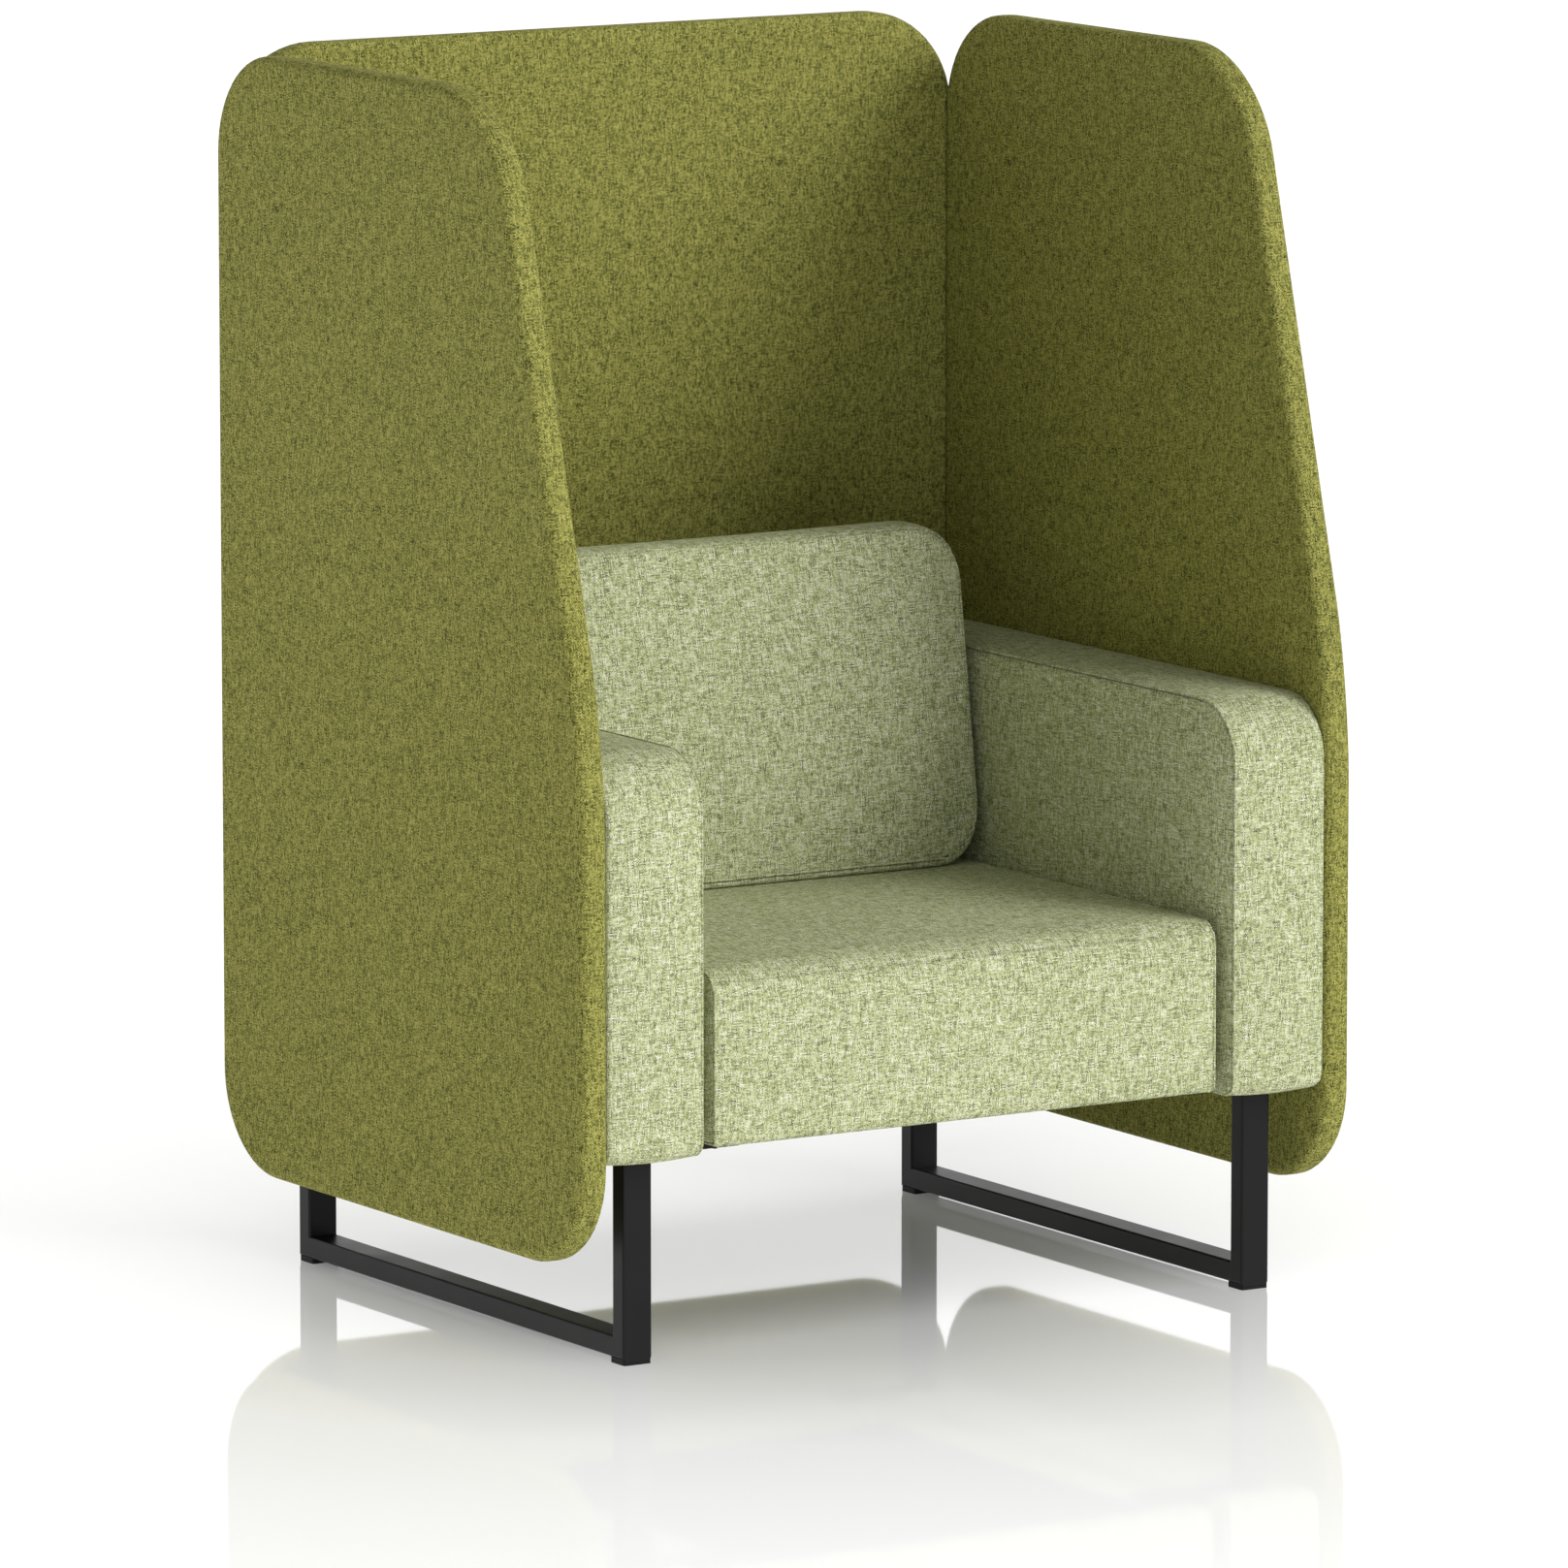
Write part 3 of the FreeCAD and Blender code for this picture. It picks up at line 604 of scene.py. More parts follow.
    @staticmethod
    def mirror_copy(piece: Piece, name: str) -> Piece:
        """Copy a piece to the other side of the booth.

        Args:
            piece: The piece to copy.
            name: The copy's name.

        Returns:
            The copy, with its own mesh and its faces outwards.
        """
        Bench.take(piece)
        bpy.ops.object.duplicate()
        twin = bpy.context.object
        twin.name = name
        twin.data.name = name
        Bench.put_points(twin, Bench.points(twin) * np.array([-1.0, 1.0, 1.0]))
        bpy.ops.object.mode_set(mode="EDIT")
        bpy.ops.mesh.select_all(action="SELECT")
        bpy.ops.mesh.flip_normals()
        bpy.ops.object.mode_set(mode="OBJECT")
        return twin


def near(value: float, target: float, slack: float = 0.0006) -> bool:
    """Whether two lengths agree."""
    return abs(value - target) < slack


def soften(value: np.ndarray | float) -> np.ndarray | float:
    """Smooth step from zero to one."""
    share = np.clip(value, 0.0, 1.0)
    return share * share * (3.0 - 2.0 * share)


def arch(share: np.ndarray) -> np.ndarray:
    """Rise from zero at both ends of a share to one in its middle."""
    return np.clip(4.0 * share * (1.0 - share), 0.0, 1.0)


def lay_weave(piece: Piece, brow: Point | None = None) -> None:
    """Give a piece a weave map in metres, flat on each side and wrapped over its brow.

    Args:
        piece: The piece that the cloth covers.
        brow: Depth and height of the middle of the brow's arc and its radius, if the cloth
            wraps one.
    """
    mesh = piece.data
    layer = mesh.uv_layers.new(name=WEAVE_MAP)
    corners = np.zeros(len(mesh.loops), dtype=np.int32)
    mesh.loops.foreach_get("vertex_index", corners)
    normals = np.zeros(len(mesh.polygons) * 3)
    mesh.polygons.foreach_get("normal", normals)
    counts = np.zeros(len(mesh.polygons), dtype=np.int32)
    mesh.polygons.foreach_get("loop_total", counts)
    facing = np.repeat(np.argmax(np.abs(normals.reshape(-1, 3)), axis=1), counts)
    at = Bench.points(piece)[corners]
    weave = np.empty((len(corners), 2))
    weave[:, 0] = np.where(facing == 0, at[:, 1], at[:, 0])
    weave[:, 1] = np.where(facing == 2, at[:, 1], at[:, 2])
    if brow:
        depth, height, radius = brow
        away = depth - at[:, 1]
        rise = at[:, 2] - height
        turn = np.arctan2(np.maximum(rise, 0.0), np.maximum(away, TINY))
        wrapped = height + np.where(rise < 0, rise, radius * turn)
        wrapped = np.where(away < 0, height + radius * math.pi / 2 - away, wrapped)
        over = (facing == 2) | ((facing == 1) & (away > 0))
        weave[:, 1] = np.where(over, wrapped, weave[:, 1])
    layer.data.foreach_set("uv", weave.ravel())


@dataclass(frozen=True)
class Swelling:
    """Cloth simulation that blows a padded piece up between the seams that hold it."""

    pressure: float
    limit: float
    frames: int = 10
    quality: int = 3
    held: float = 0.02

    def run(self, piece: Piece, *holds: tuple[np.ndarray, float]) -> None:
        """Swell a piece and apply the result to its mesh.

        Args:
            piece: The piece to swell.
            holds: Each vertex's distance from a seam or neighbour that holds it, and how far the
                hold reaches.
        """
        freedom = np.ones(len(piece.data.vertices))
        for gap, reach in holds:
            freedom = freedom * soften(gap / reach)
        rest = Bench.points(piece)
        Bench.take(piece)
        hold = piece.vertex_groups.new(name="hold")
        hold.add(np.flatnonzero(freedom < self.held).tolist(), 1.0, "REPLACE")
        cloth = piece.modifiers.new("swell", "CLOTH")
        settings = cloth.settings
        settings.quality = self.quality
        settings.use_pressure = True
        settings.uniform_pressure_force = self.pressure
        settings.vertex_group_mass = hold.name
        settings.effector_weights.gravity = 0.0
        cloth.point_cache.frame_start = 1
        cloth.point_cache.frame_end = self.frames
        scene = bpy.context.scene
        for moment in range(1, self.frames + 1):
            scene.frame_set(moment)
        bpy.ops.object.modifier_apply(modifier=cloth.name)
        scene.frame_set(1)
        shift = Bench.points(piece) - rest
        length = np.linalg.norm(shift, axis=1)
        capped = self.limit * np.tanh(length / self.limit)
        shift *= (freedom * capped / np.maximum(length, TINY))[:, None]
        Bench.put_points(piece, rest + shift)
        piece.vertex_groups.clear()
        most = float(np.linalg.norm(shift, axis=1).max())
        log.info("%s swelled by up to %.1f mm", piece.name, 1000 * most)


@dataclass
class Seam:
    """A sewn seam along a line on a padded piece, with a folded lip beside it."""

    line: list[Point]
    lip_shift: Point = (0.0, 0.0, 0.0)
    depth: float = 0.0032
    core: float = 0.0016
    shoulder: float = 0.010
    lip: float = 0.0016
    # shade, shoulder_shade and shade_spread set the painted shade along the seam: its strength, its
    # share on the shoulder and the width of its dark core.
    shade: float = 1.0
    bands: tuple[float, ...] = (0.0075, 0.004, 0.0022)
    step: float = 0.003
    lip_step: float = 0.006
    lip_lift: float = 0.1
    shoulder_pull: float = 0.3
    shoulder_shade: float = 0.15
    shade_spread: float = 1.2

    def tree(self) -> KDTree:
        """Search tree of points close together along the line.

        Returns:
            The balanced tree.
        """
        dense = self.dense(self.step)
        found = KDTree(len(dense))
        for index, spot in enumerate(dense):
            found.insert(spot, index)
        found.balance()
        return found

    def dense(self, step: float) -> list[Vector]:
        """Points along the line at a step.

        Args:
            step: The greatest distance between neighbours.

        Returns:
            The points in order.
        """
        spots: list[Vector] = []
        for first, second in zip(self.line, self.line[1:]):
            start, stop = Vector(first), Vector(second)
            count = max(1, math.ceil((stop - start).length / step))
            spots += [start.lerp(stop, index / count) for index in range(count)]
        spots.append(Vector(self.line[-1]))
        return spots

    def distances(self, piece: Piece) -> np.ndarray:
        """How far each vertex of a piece is from the seam."""
        line = self.tree()
        return np.array([line.find(vertex.co)[2] for vertex in piece.data.vertices])

    def sew(self, piece: Piece) -> None:
        """Lay the line on a piece, split the faces beside it and press its furrow.

        Args:
            piece: The padded piece.
        """
        bpy.context.view_layer.update()
        dense = self.dense(self.step)
        self.line = [tuple(piece.closest_point_on_mesh(spot)[1]) for spot in dense]
        line = self.tree()
        for width in self.bands:
            Bench.edit_faces(piece, lambda face: line.find(face.center)[2] < width)
            bpy.ops.mesh.subdivide(number_cuts=1, smoothness=0.0)
            bpy.ops.object.mode_set(mode="OBJECT")
        self._press(piece)

    def _press(self, piece: Piece) -> None:
        """Press the furrow of the seam into a piece and store the painted shade that falls in it.

        Args:
            piece: The padded piece.
        """
        gap = self.distances(piece)
        shoulder = 1.0 - soften(gap / self.shoulder)
        pull = self.depth * np.exp(-((gap / self.core) ** 2))
        pull = pull + self.shoulder_pull * self.depth * shoulder
        Bench.put_points(piece, Bench.points(piece) - Bench.normals(piece) * pull[:, None])
        # Painted shade: a dark core along the furrow and a softer painted shade over its shoulder,
        # kept at the darkest of all seams.
        dark = (1.0 - self.shoulder_shade) * np.exp(-((gap / (self.shade_spread * self.core)) ** 2))
        dark = (dark + self.shoulder_shade * shoulder) * self.shade
        layer = piece.data.attributes.get(PAINTED_SEAM_SHADE)
        if layer is None:
            layer = piece.data.attributes.new(PAINTED_SEAM_SHADE, "FLOAT", "POINT")
        before = np.zeros(len(gap))
        layer.data.foreach_get("value", before)
        layer.data.foreach_set("value", np.maximum(before, dark))

    def lip_piece(self, piece: Piece, name: str) -> Piece:
        """Model the seam's folded lip as a fine roll that lies in the furrow.

        Args:
            piece: The padded piece that the seam is sewn in.
            name: The roll's name.

        Returns:
            The roll as a mesh.
        """
        curve = bpy.data.curves.new(name, "CURVE")
        curve.dimensions = "3D"
        curve.bevel_depth = self.lip
        curve.bevel_resolution = 2
        curve.use_fill_caps = True
        bpy.context.view_layer.update()
        dense = self.dense(self.lip_step)
        spline = curve.splines.new("POLY")
        spline.points.add(len(dense) - 1)
        for target, spot in zip(spline.points, dense):
            _, nearest, normal, _ = piece.closest_point_on_mesh(spot + Vector(self.lip_shift))
            seated = nearest + normal * (self.lip * self.lip_lift)
            target.co = (seated.x, seated.y, seated.z, 1.0)
        roll = bpy.data.objects.new(name, curve)
        bpy.context.scene.collection.objects.link(roll)
        Bench.take(roll)
        bpy.ops.object.convert(target="MESH")
        roll = bpy.context.object
        Bench.smooth(roll)
        return roll


def rounded_profile(corners: Sequence[tuple[float, float]], radii: Sequence[float],
                    steps: int = 10) -> list[tuple[float, float]]:
    """Points round a closed outline with rounded corners.

    Args:
        corners: The outline's sharp corners in order.
        radii: A radius for each corner.
        steps: Points in each arc.

    Returns:
        The outline's points, closed by the first one again.
    """
    outline: list[tuple[float, float]] = []
    count = len(corners)
    for index, (corner, radius) in enumerate(zip(corners, radii)):
        point = Vector(corner)
        before = (Vector(corners[index - 1]) - point).normalized()
        after = (Vector(corners[(index + 1) % count]) - point).normalized()
        half = before.angle(after) / 2
        centre = point + (before + after).normalized() * (radius / math.sin(half))
        start = point + before * (radius / math.tan(half)) - centre
        stop = point + after * (radius / math.tan(half)) - centre
        for step in range(steps + 1):
            spoke = start.lerp(stop, step / steps).normalized() * radius
            outline.append((centre.x + spoke.x, centre.y + spoke.y))
    outline.append(outline[0])
    return outline


@dataclass
class Upholstery:
    """A cloth, its slot in the record and how pieces are dressed in it."""

    cloth: WovenCloth
    slot: str
    voxel: float = 0.006
    material: bpy.types.Material = field(init=False)

    def __post_init__(self) -> None:
        """Make the material that all the pieces share."""
        self.material = self.cloth.material()

    def remesh(self, piece: Piece) -> None:
        """Cover a piece with small even faces.

        Args:
            piece: The piece to cover.
        """
        Bench.take(piece)
        piece.data.remesh_voxel_size = self.voxel
        bpy.ops.object.voxel_remesh()

    def trim(self, piece: Piece, brow: Point | None = None) -> None:
        """Lay the cloth on a piece, such as a seam's lip, and hand it to the frame.

        Args:
            piece: The finished mesh.
            brow: The arc that the cloth wraps, if any.
        """
        lay_weave(piece, brow)
        Bench.paint(piece, self.material)
        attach(piece, BODY)

    def dress(self, piece: Piece, nodes: Sequence[str],
              brow: Point | None = None) -> None:
        """Finish a padded piece that stands for nodes of the frame.

        Args:
            piece: The finished mesh.
            nodes: The nodes.
            brow: The arc that the cloth wraps, if any.
        """
        self.trim(piece, brow)
        Bench.smooth(piece)
        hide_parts(*nodes)
        log.info("%s: %d faces", piece.name, len(piece.data.polygons))


@dataclass
class Screen:
    """A padded screen with rounded corners and soft edges."""

    thickness: float = 0.035
    underside: float = 0.118
    top: float = 1.440
    corner: float = 0.120
    corner_steps: int = 14
    edge: float = 0.010
    edge_steps: int = 6
    half_width: float = 0.5225
    front: float = -0.433
    rear: float = 0.398
    brow: float = 0.160
    brow_steps: int = 16
    bend_height: float = 0.706
    bend_radius: float = 0.800
    bend_steps: int = 10
    lean_back: float = 0.197
    back_half: float = 0.500
    squeeze: float = 0.0018
    broad_area: float = 0.3
    inset: float = 0.006
    padding: float = 1.0

    def build_side(self, side: Side) -> Piece:
        """Model the screen beside an arm.

        Args:
            side: The side it stands on.

        Returns:
            The screen's mesh.
        """
        inner = side.value * (self.half_width - self.thickness)
        outer = side.value * self.half_width
        low = (min(inner, outer), self.front, self.underside)
        high = (max(inner, outer), self.rear, self.top)
        piece = Bench.block(f"{side.word}_screen", low, high)
        rise = self.top - self.bend_height
        Bench.slice_off(piece, (0.0, self.front, self.bend_height), (0.0, -rise, self.lean_back))
        lean = math.atan2(self.lean_back, rise)
        places = ((self.front, self.underside), (self.rear, self.underside), (self.rear, self.top))
        turns = [(*place, self.corner, self.corner_steps) for place in places]
        turns += [
            (self.front + self.lean_back, self.top,
             self.brow * math.tan(math.pi / 4 - lean / 2), self.brow_steps),
            (self.front, self.bend_height, self.bend_radius * math.tan(lean / 2), self.bend_steps),
        ]
        Bench.round_corners(piece, 1, turns)
        self._soften_rims(piece, axis=0)
        return piece

    def build_back(self) -> Piece:
        """Model the screen behind the seat, with its front pressed against the side screens.

        Returns:
            The screen's mesh.
        """
        low = (-self.back_half, self.rear - self.squeeze, self.underside)
        high = (self.back_half, self.rear + self.thickness, self.top)
        piece = Bench.block("back_screen", low, high)
        turns = [(x, z, self.corner, self.corner_steps) for x in (-self.back_half, self.back_half)
                 for z in (self.underside, self.top)]
        Bench.round_corners(piece, 0, turns)
        self._soften_rims(piece, axis=1)
        return piece

    def _soften_rims(self, piece: Piece, axis: int) -> None:
        """Round the long edges of both faces.

        Args:
            piece: The screen.
            axis: The axis across the screen's thickness.
        """
        Bench.round_edges(piece, lambda a, b: near(a[axis], b[axis]), self.edge, self.edge_steps)
        Bench.edit_faces(piece, lambda face: face.area > self.broad_area)
        bpy.ops.mesh.inset(thickness=self.inset, depth=0.0)
        bpy.ops.object.mode_set(mode="OBJECT")

    def build(self, wrap: Upholstery) -> None:
        """Build and dress all three screens.

        Args:
            wrap: The screens' upholstery.
        """
        for side in Side:
            wrap.dress(self.build_side(side), [f"{side.word}_screen_cover"])
        wrap.dress(self.build_back(), ["back_screen_cover"])


class SideOutline:
    """What arms and seat share: an outline seen from the side, with a brow, a toe and heels."""

    front: float
    rear: float
    underside: float
    top: float
    brow: float
    brow_steps: int
    toe: float
    toe_steps: int = 6
    heel: float
    heel_steps: int = 4
    front_crown: float = 0.002
    panel_border: float = 0.06

    def round_outline(self, piece: Piece) -> None:
        """Round the four corners of the outline.

        Args:
            piece: The block to shape.
        """
        Bench.round_corners(piece, 1, [
            (self.front, self.top, self.brow, self.brow_steps),
            (self.front, self.underside, self.toe, self.toe_steps),
            (self.rear, self.top, self.heel, self.heel_steps),
            (self.rear, self.underside, self.heel, self.heel_steps),
        ])

    def panel_seam(self, plane: float, lip_shift: float) -> Seam:
        """The seam round a side panel.

        Args:
            plane: Where the panel stands across the booth.
            lip_shift: How far across the booth the lip lies from the seam.

        Returns:
            The seam.
        """
        corners = [(self.front, self.underside), (self.rear, self.underside),
                   (self.rear, self.top), (self.front, self.top)]
        outline = rounded_profile(corners, (self.toe, self.heel, self.heel, self.brow))
        line = [(plane, depth, height) for depth, height in outline]
        return Seam(line, (lip_shift, 0.0, 0.0))

    @property
    def brow_arc(self) -> Point:
        """Depth and height of the middle of the brow's arc, and its radius."""
        return (self.front + self.brow, self.top - self.brow, self.brow)


@dataclass
class Arms(SideOutline):
    """The two upholstered arms."""

    inner: float = 0.3565
    outer: float = 0.4875
    front: float = -0.429
    rear: float = 0.398
    underside: float = 0.240
    top: float = 0.7005
    brow: float = 0.072
    brow_steps: int = 12
    toe: float = 0.018
    heel: float = 0.008
    side_swell: float = 0.0021
    crown: float = 0.0035
    sag: float = 0.0035
    sag_start: float = 0.03
    leg_front: float = -0.389
    edge: float = 0.004
    edge_steps: int = 4
    seam_hold: float = 0.035
    outer_hold: float = 0.03
    rear_hold: float = 0.05
    foot_hold: float = 0.05
    padding: float = 0.9
    swelling: Swelling = Swelling(4.0, 0.0018)

    @property
    def seam_plane(self) -> float:
        """Where the inner side's seam lies across the booth."""
        return self.inner + self.side_swell

    def fill(self, piece: Piece, seam: Seam) -> None:
        """Crown the band over the arm and its inner panel, and let it sag ahead of the leg.

        Args:
            piece: The arm's mesh.
            seam: The seam between the two.
        """
        spots = Bench.points(piece)
        out = Bench.normals(piece)
        band = arch((spots[:, 0] - self.seam_plane) / (self.outer - self.seam_plane))
        panel = soften(seam.distances(piece) / self.panel_border) * (out[:, 0] < -FACING)
        ahead = soften((self.leg_front - spots[:, 1]) / self.sag_start)
        shift = np.zeros_like(spots)
        shift[:, 0] = -self.side_swell * panel
        shift[:, 1] = -self.front_crown * band * np.maximum(-out[:, 1], 0.0)
        shift[:, 2] = self.crown * band * np.maximum(out[:, 2], 0.0)
        shift[:, 2] -= self.sag * band * ahead * np.maximum(-out[:, 2], 0.0)
        Bench.put_points(piece, spots + shift)

    def build(self, wrap: Upholstery) -> None:
        """Build and dress both arms.

        Args:
            wrap: The arms' upholstery.
        """
        low = (self.seam_plane, self.front, self.underside)
        piece = Bench.block("right_arm", low, (self.outer, self.rear, self.top))
        self.round_outline(piece)
        Bench.round_edges(piece, lambda *ends: all(near(end.x, self.outer) for end in ends),
                          self.edge, self.edge_steps)
        wrap.remesh(piece)
        seam = self.panel_seam(self.seam_plane, LIP_SHIFT)
        self.fill(piece, seam)
        spots = Bench.points(piece)
        self.swelling.run(piece, (seam.distances(piece), self.seam_hold),
                          (self.outer - spots[:, 0], self.outer_hold),
                          (self.rear - spots[:, 1], self.rear_hold),
                          (spots[:, 2] - self.underside, self.foot_hold))
        seam.sew(piece)
        lip = seam.lip_piece(piece, "right_arm_seam")
        left = (Bench.mirror_copy(piece, "left_arm"), Bench.mirror_copy(lip, "left_arm_seam"))
        for side, (arm, roll) in zip(Side, (left, (piece, lip))):
            wrap.dress(arm, [f"{side.word}_arm_pad"], self.brow_arc)
            wrap.trim(roll)


@dataclass
class Seat(SideOutline):
    """The seat's cover over its foam and rails."""

    half: float = 0.3466
    front: float = -0.4207
    rear: float = 0.195
    underside: float = 0.2457
    top: float = 0.448
    brow: float = 0.029
    brow_steps: int = 10
    toe: float = 0.012
    heel: float = 0.008
    side_swell: float = 0.003
    crown: float = 0.0065
    keel: float = 0.013
    keel_steps: int = 6
    cushion_front: float = 0.064
    brow_seam_turn: float = math.radians(37.0)
    seam_hold: float = 0.05
    cushion_hold: float = 0.08
    foot_hold: float = 0.04
    padding: float = 0.85
    swelling: Swelling = Swelling(4.0, 0.002)

    @property
    def seam_plane(self) -> float:
        """Where the side seams lie, each side of the middle."""
        return self.half - self.side_swell

    def brow_seam(self) -> Seam:
        """The fine flat seam along the brow, from side to side.

        Returns:
            The seam.
        """
        depth = self.front + self.brow * (1.0 - math.cos(self.brow_seam_turn))
        height = self.top - self.brow * (1.0 - math.sin(self.brow_seam_turn))
        ends = [(edge, depth, height) for edge in (-self.seam_plane, self.seam_plane)]
        # This seam gets a lighter painted shade than the other seams.
        return Seam(ends, depth=0.001, core=0.0012, shoulder=0.004, shade=0.65,
                    bands=(0.006, 0.003))

    def fill(self, piece: Piece, seams: Sequence[Seam]) -> None:
        """Crown the top, the front and the side panels.

        Args:
            piece: The seat's mesh.
            seams: The seams round the side panels.
        """
        spots = Bench.points(piece)
        out = Bench.normals(piece)
        across = 1.0 - (spots[:, 0] / self.seam_plane) ** 2
        along = arch((spots[:, 1] - self.front) / (self.cushion_front - self.front))
        gap = np.minimum(*[seam.distances(piece) for seam in seams])
        panel = soften(gap / self.panel_border) * (np.abs(out[:, 0]) > FACING)
        shift = np.zeros_like(spots)
        shift[:, 0] = self.side_swell * panel * np.sign(spots[:, 0])
        shift[:, 1] = -self.front_crown * across * np.maximum(-out[:, 1], 0.0)
        shift[:, 2] = self.crown * across * along * np.maximum(out[:, 2], 0.0)
        Bench.put_points(piece, spots + shift)

    def build(self, wrap: Upholstery) -> None:
        """Build and dress the seat.

        Args:
            wrap: The seat's upholstery.
        """
        low = (-self.seam_plane, self.front, self.underside)
        piece = Bench.block("seat", low, (self.seam_plane, self.rear, self.top))
        Bench.round_edges(
            piece, lambda a, b: near(a.x, b.x) and all(near(end.z, self.underside)
                                                       for end in (a, b)),
            self.keel, self.keel_steps)
        self.round_outline(piece)
        wrap.remesh(piece)
        seams = [self.panel_seam(side.value * self.seam_plane, -LIP_SHIFT * side.value)
                 for side in Side]
        self.fill(piece, seams)
        spots = Bench.points(piece)
        gap = np.minimum(*[seam.distances(piece) for seam in seams])
        self.swelling.run(piece, (gap, self.seam_hold),
                          (self.cushion_front - spots[:, 1], self.cushion_hold),
                          (spots[:, 2] - self.underside, self.foot_hold))
        for seam in [*seams, self.brow_seam()]:
            seam.sew(piece)
        for side, seam in zip(Side, seams):
            wrap.trim(seam.lip_piece(piece, f"seat_{side.word}_seam"))
        wrap.dress(piece, ["seat_cover", "seat_foam"], self.brow_arc)


@dataclass
class Back:
    """The leaning back cushion and the upholstered block behind it."""

    half: float = 0.344
    foot_depth: float = 0.1953
    foot_height: float = 0.448
    foot_level: float = 0.12
    recline: float = math.radians(8.3)
    height: float = 0.390
    thickness: float = 0.130
    crown: float = 0.014
    crown_share: float = 0.8
    crown_border: float = 0.12
    top_corner: float = 0.066
    bottom_corner: float = 0.064
    corner_steps: int = 12
    rim: float = 0.009
    rim_steps: int = 4
    seam_inset: float = 0.0026
    gap: float = 0.0005
    block_half: float = 0.356
    block_front: float = 0.1957
    block_rear: float = 0.398
    block_underside: float = 0.240
    block_top: float = 0.704
    block_edge: float = 0.012
    block_steps: int = 5
    bulge: float = 0.003
    bulge_start: float = 0.03
    top_bulge: float = 0.010
    draw_in: float = 0.003
    seam_hold: float = 0.07
    foot_hold: float = 0.02
    rear_hold: float = 0.03
    rear_slip: float = 0.004
    padding: float = 0.9
    swelling: Swelling = Swelling(4.0, 0.004)

    def lean(self, piece: Piece) -> None:
        """Lean a piece back from upright, with the cushion's foot level on the seat.

        Args:
            piece: The cushion or its lip.
        """
        spots = Bench.points(piece)
        sine, cosine = math.sin(self.recline), math.cos(self.recline)
        ahead = -spots[:, 1]
        level = 1.0 - soften(spots[:, 2] / self.foot_level)
        slope = spots[:, 2] - ahead * math.tan(self.recline) * level
        depth = self.foot_depth + slope * sine - ahead * cosine
        rise = self.foot_height + self.gap + slope * cosine + ahead * sine
        Bench.put_points(piece, np.stack([spots[:, 0], depth, rise], axis=1))

    def seam(self, ahead: float, inset: float, foot: float) -> Seam:
        """A seam round the upright cushion.

        Args:
            ahead: How far it lies forward of the rear face.
            inset: How far it lies within the sides and the top.
            foot: Its height over the seat.

        Returns:
            The seam.
        """
        half = self.half - inset
        top = self.height - inset
        corners = [(-half, foot), (half, foot), (half, top), (-half, top)]
        radii = (self.bottom_corner, self.bottom_corner, self.top_corner, self.top_corner)
        outline = rounded_profile(corners, radii)
        return Seam([(across, -ahead, height) for across, height in outline])

    def fill(self, piece: Piece, seam: Seam) -> None:
        """Crown the cushion's front, and bulge its sides while their middles pull in.

        Args:
            piece: The upright cushion's mesh.
            seam: The seam round its front.
        """
        spots = Bench.points(piece)
        out = Bench.normals(piece)
        front = soften(seam.distances(piece) / self.crown_border) * (out[:, 1] < -FACING)
        side = (np.abs(out[:, 1]) < FACING) * soften(spots[:, 2] / self.bulge_start)
        middle = np.where(np.abs(out[:, 0]) > FACING, spots[:, 2] / self.height - 0.5,
                          spots[:, 0] / (2.0 * self.half))
        rise = np.where(out[:, 2] > UPWARD, self.top_bulge, self.bulge)
        swell = rise * arch(-spots[:, 1] / (self.thickness - self.crown))
        tuck = self.draw_in * np.clip(1.0 - 4.0 * middle ** 2, 0.0, 1.0)
        shift = out * (side * (swell - tuck))[:, None]
        shift[:, 1] -= self.crown_share * self.crown * front
        Bench.put_points(piece, spots + shift)

    def build_cushion(self, wrap: Upholstery) -> None:
        """Build and dress the cushion.

        Args:
            wrap: The cushion's upholstery.
        """
        ahead = self.thickness - self.crown
        low = (-self.half, -ahead, 0.0)
        piece = Bench.block("back_cushion", low, (self.half, 0.0, self.height))
        ends = ((0.0, self.bottom_corner), (self.height, self.top_corner))
        Bench.round_corners(piece, 0, [
            (across, height, reach, self.corner_steps)
            for height, reach in ends for across in (-self.half, self.half)])
        Bench.round_edges(piece, lambda *ends: all(near(end.y, -ahead) for end in ends),
                          self.rim, self.rim_steps)
        wrap.remesh(piece)
        front = self.seam(ahead - self.seam_inset, self.seam_inset, self.rim)
        self.fill(piece, front)
        spots = Bench.points(piece)
        gap = np.minimum(*[seam.distances(piece) for seam in (front, self.seam(0.0, 0.0, 0.0))])
        self.swelling.run(piece, (gap, self.seam_hold), (spots[:, 2], self.foot_hold),
                          (-spots[:, 1] - self.rear_slip, self.rear_hold))
        front.sew(piece)
        roll = front.lip_piece(piece, "back_cushion_seam")
        self.lean(piece)
        self.lean(roll)
        wrap.trim(roll)
        wrap.dress(piece, ["back_cushion_cover", "back_cushion_foam"])

    def build_block(self, wrap: Upholstery) -> None:
        """Build and dress the block behind the cushion.

        Args:
            wrap: The block's upholstery.
        """
        low = (-self.block_half, self.block_front, self.block_underside)
        high = (self.block_half, self.block_rear, self.block_top)
        piece = Bench.block("back_block", low, high)
        outward = (0.0, -math.cos(self.recline), math.sin(self.recline))
        Bench.slice_off(piece, (0.0, self.block_front, self.foot_height), outward)
        Bench.round_edges(piece, lambda *ends: all(near(end.z, self.block_top) for end in ends),
                          self.block_edge, self.block_steps)
        wrap.dress(piece, ["back_pad"])

    def build(self, wrap: Upholstery) -> None:
        """Build the cushion and the block."""
        self.build_cushion(wrap)
        self.build_block(wrap)


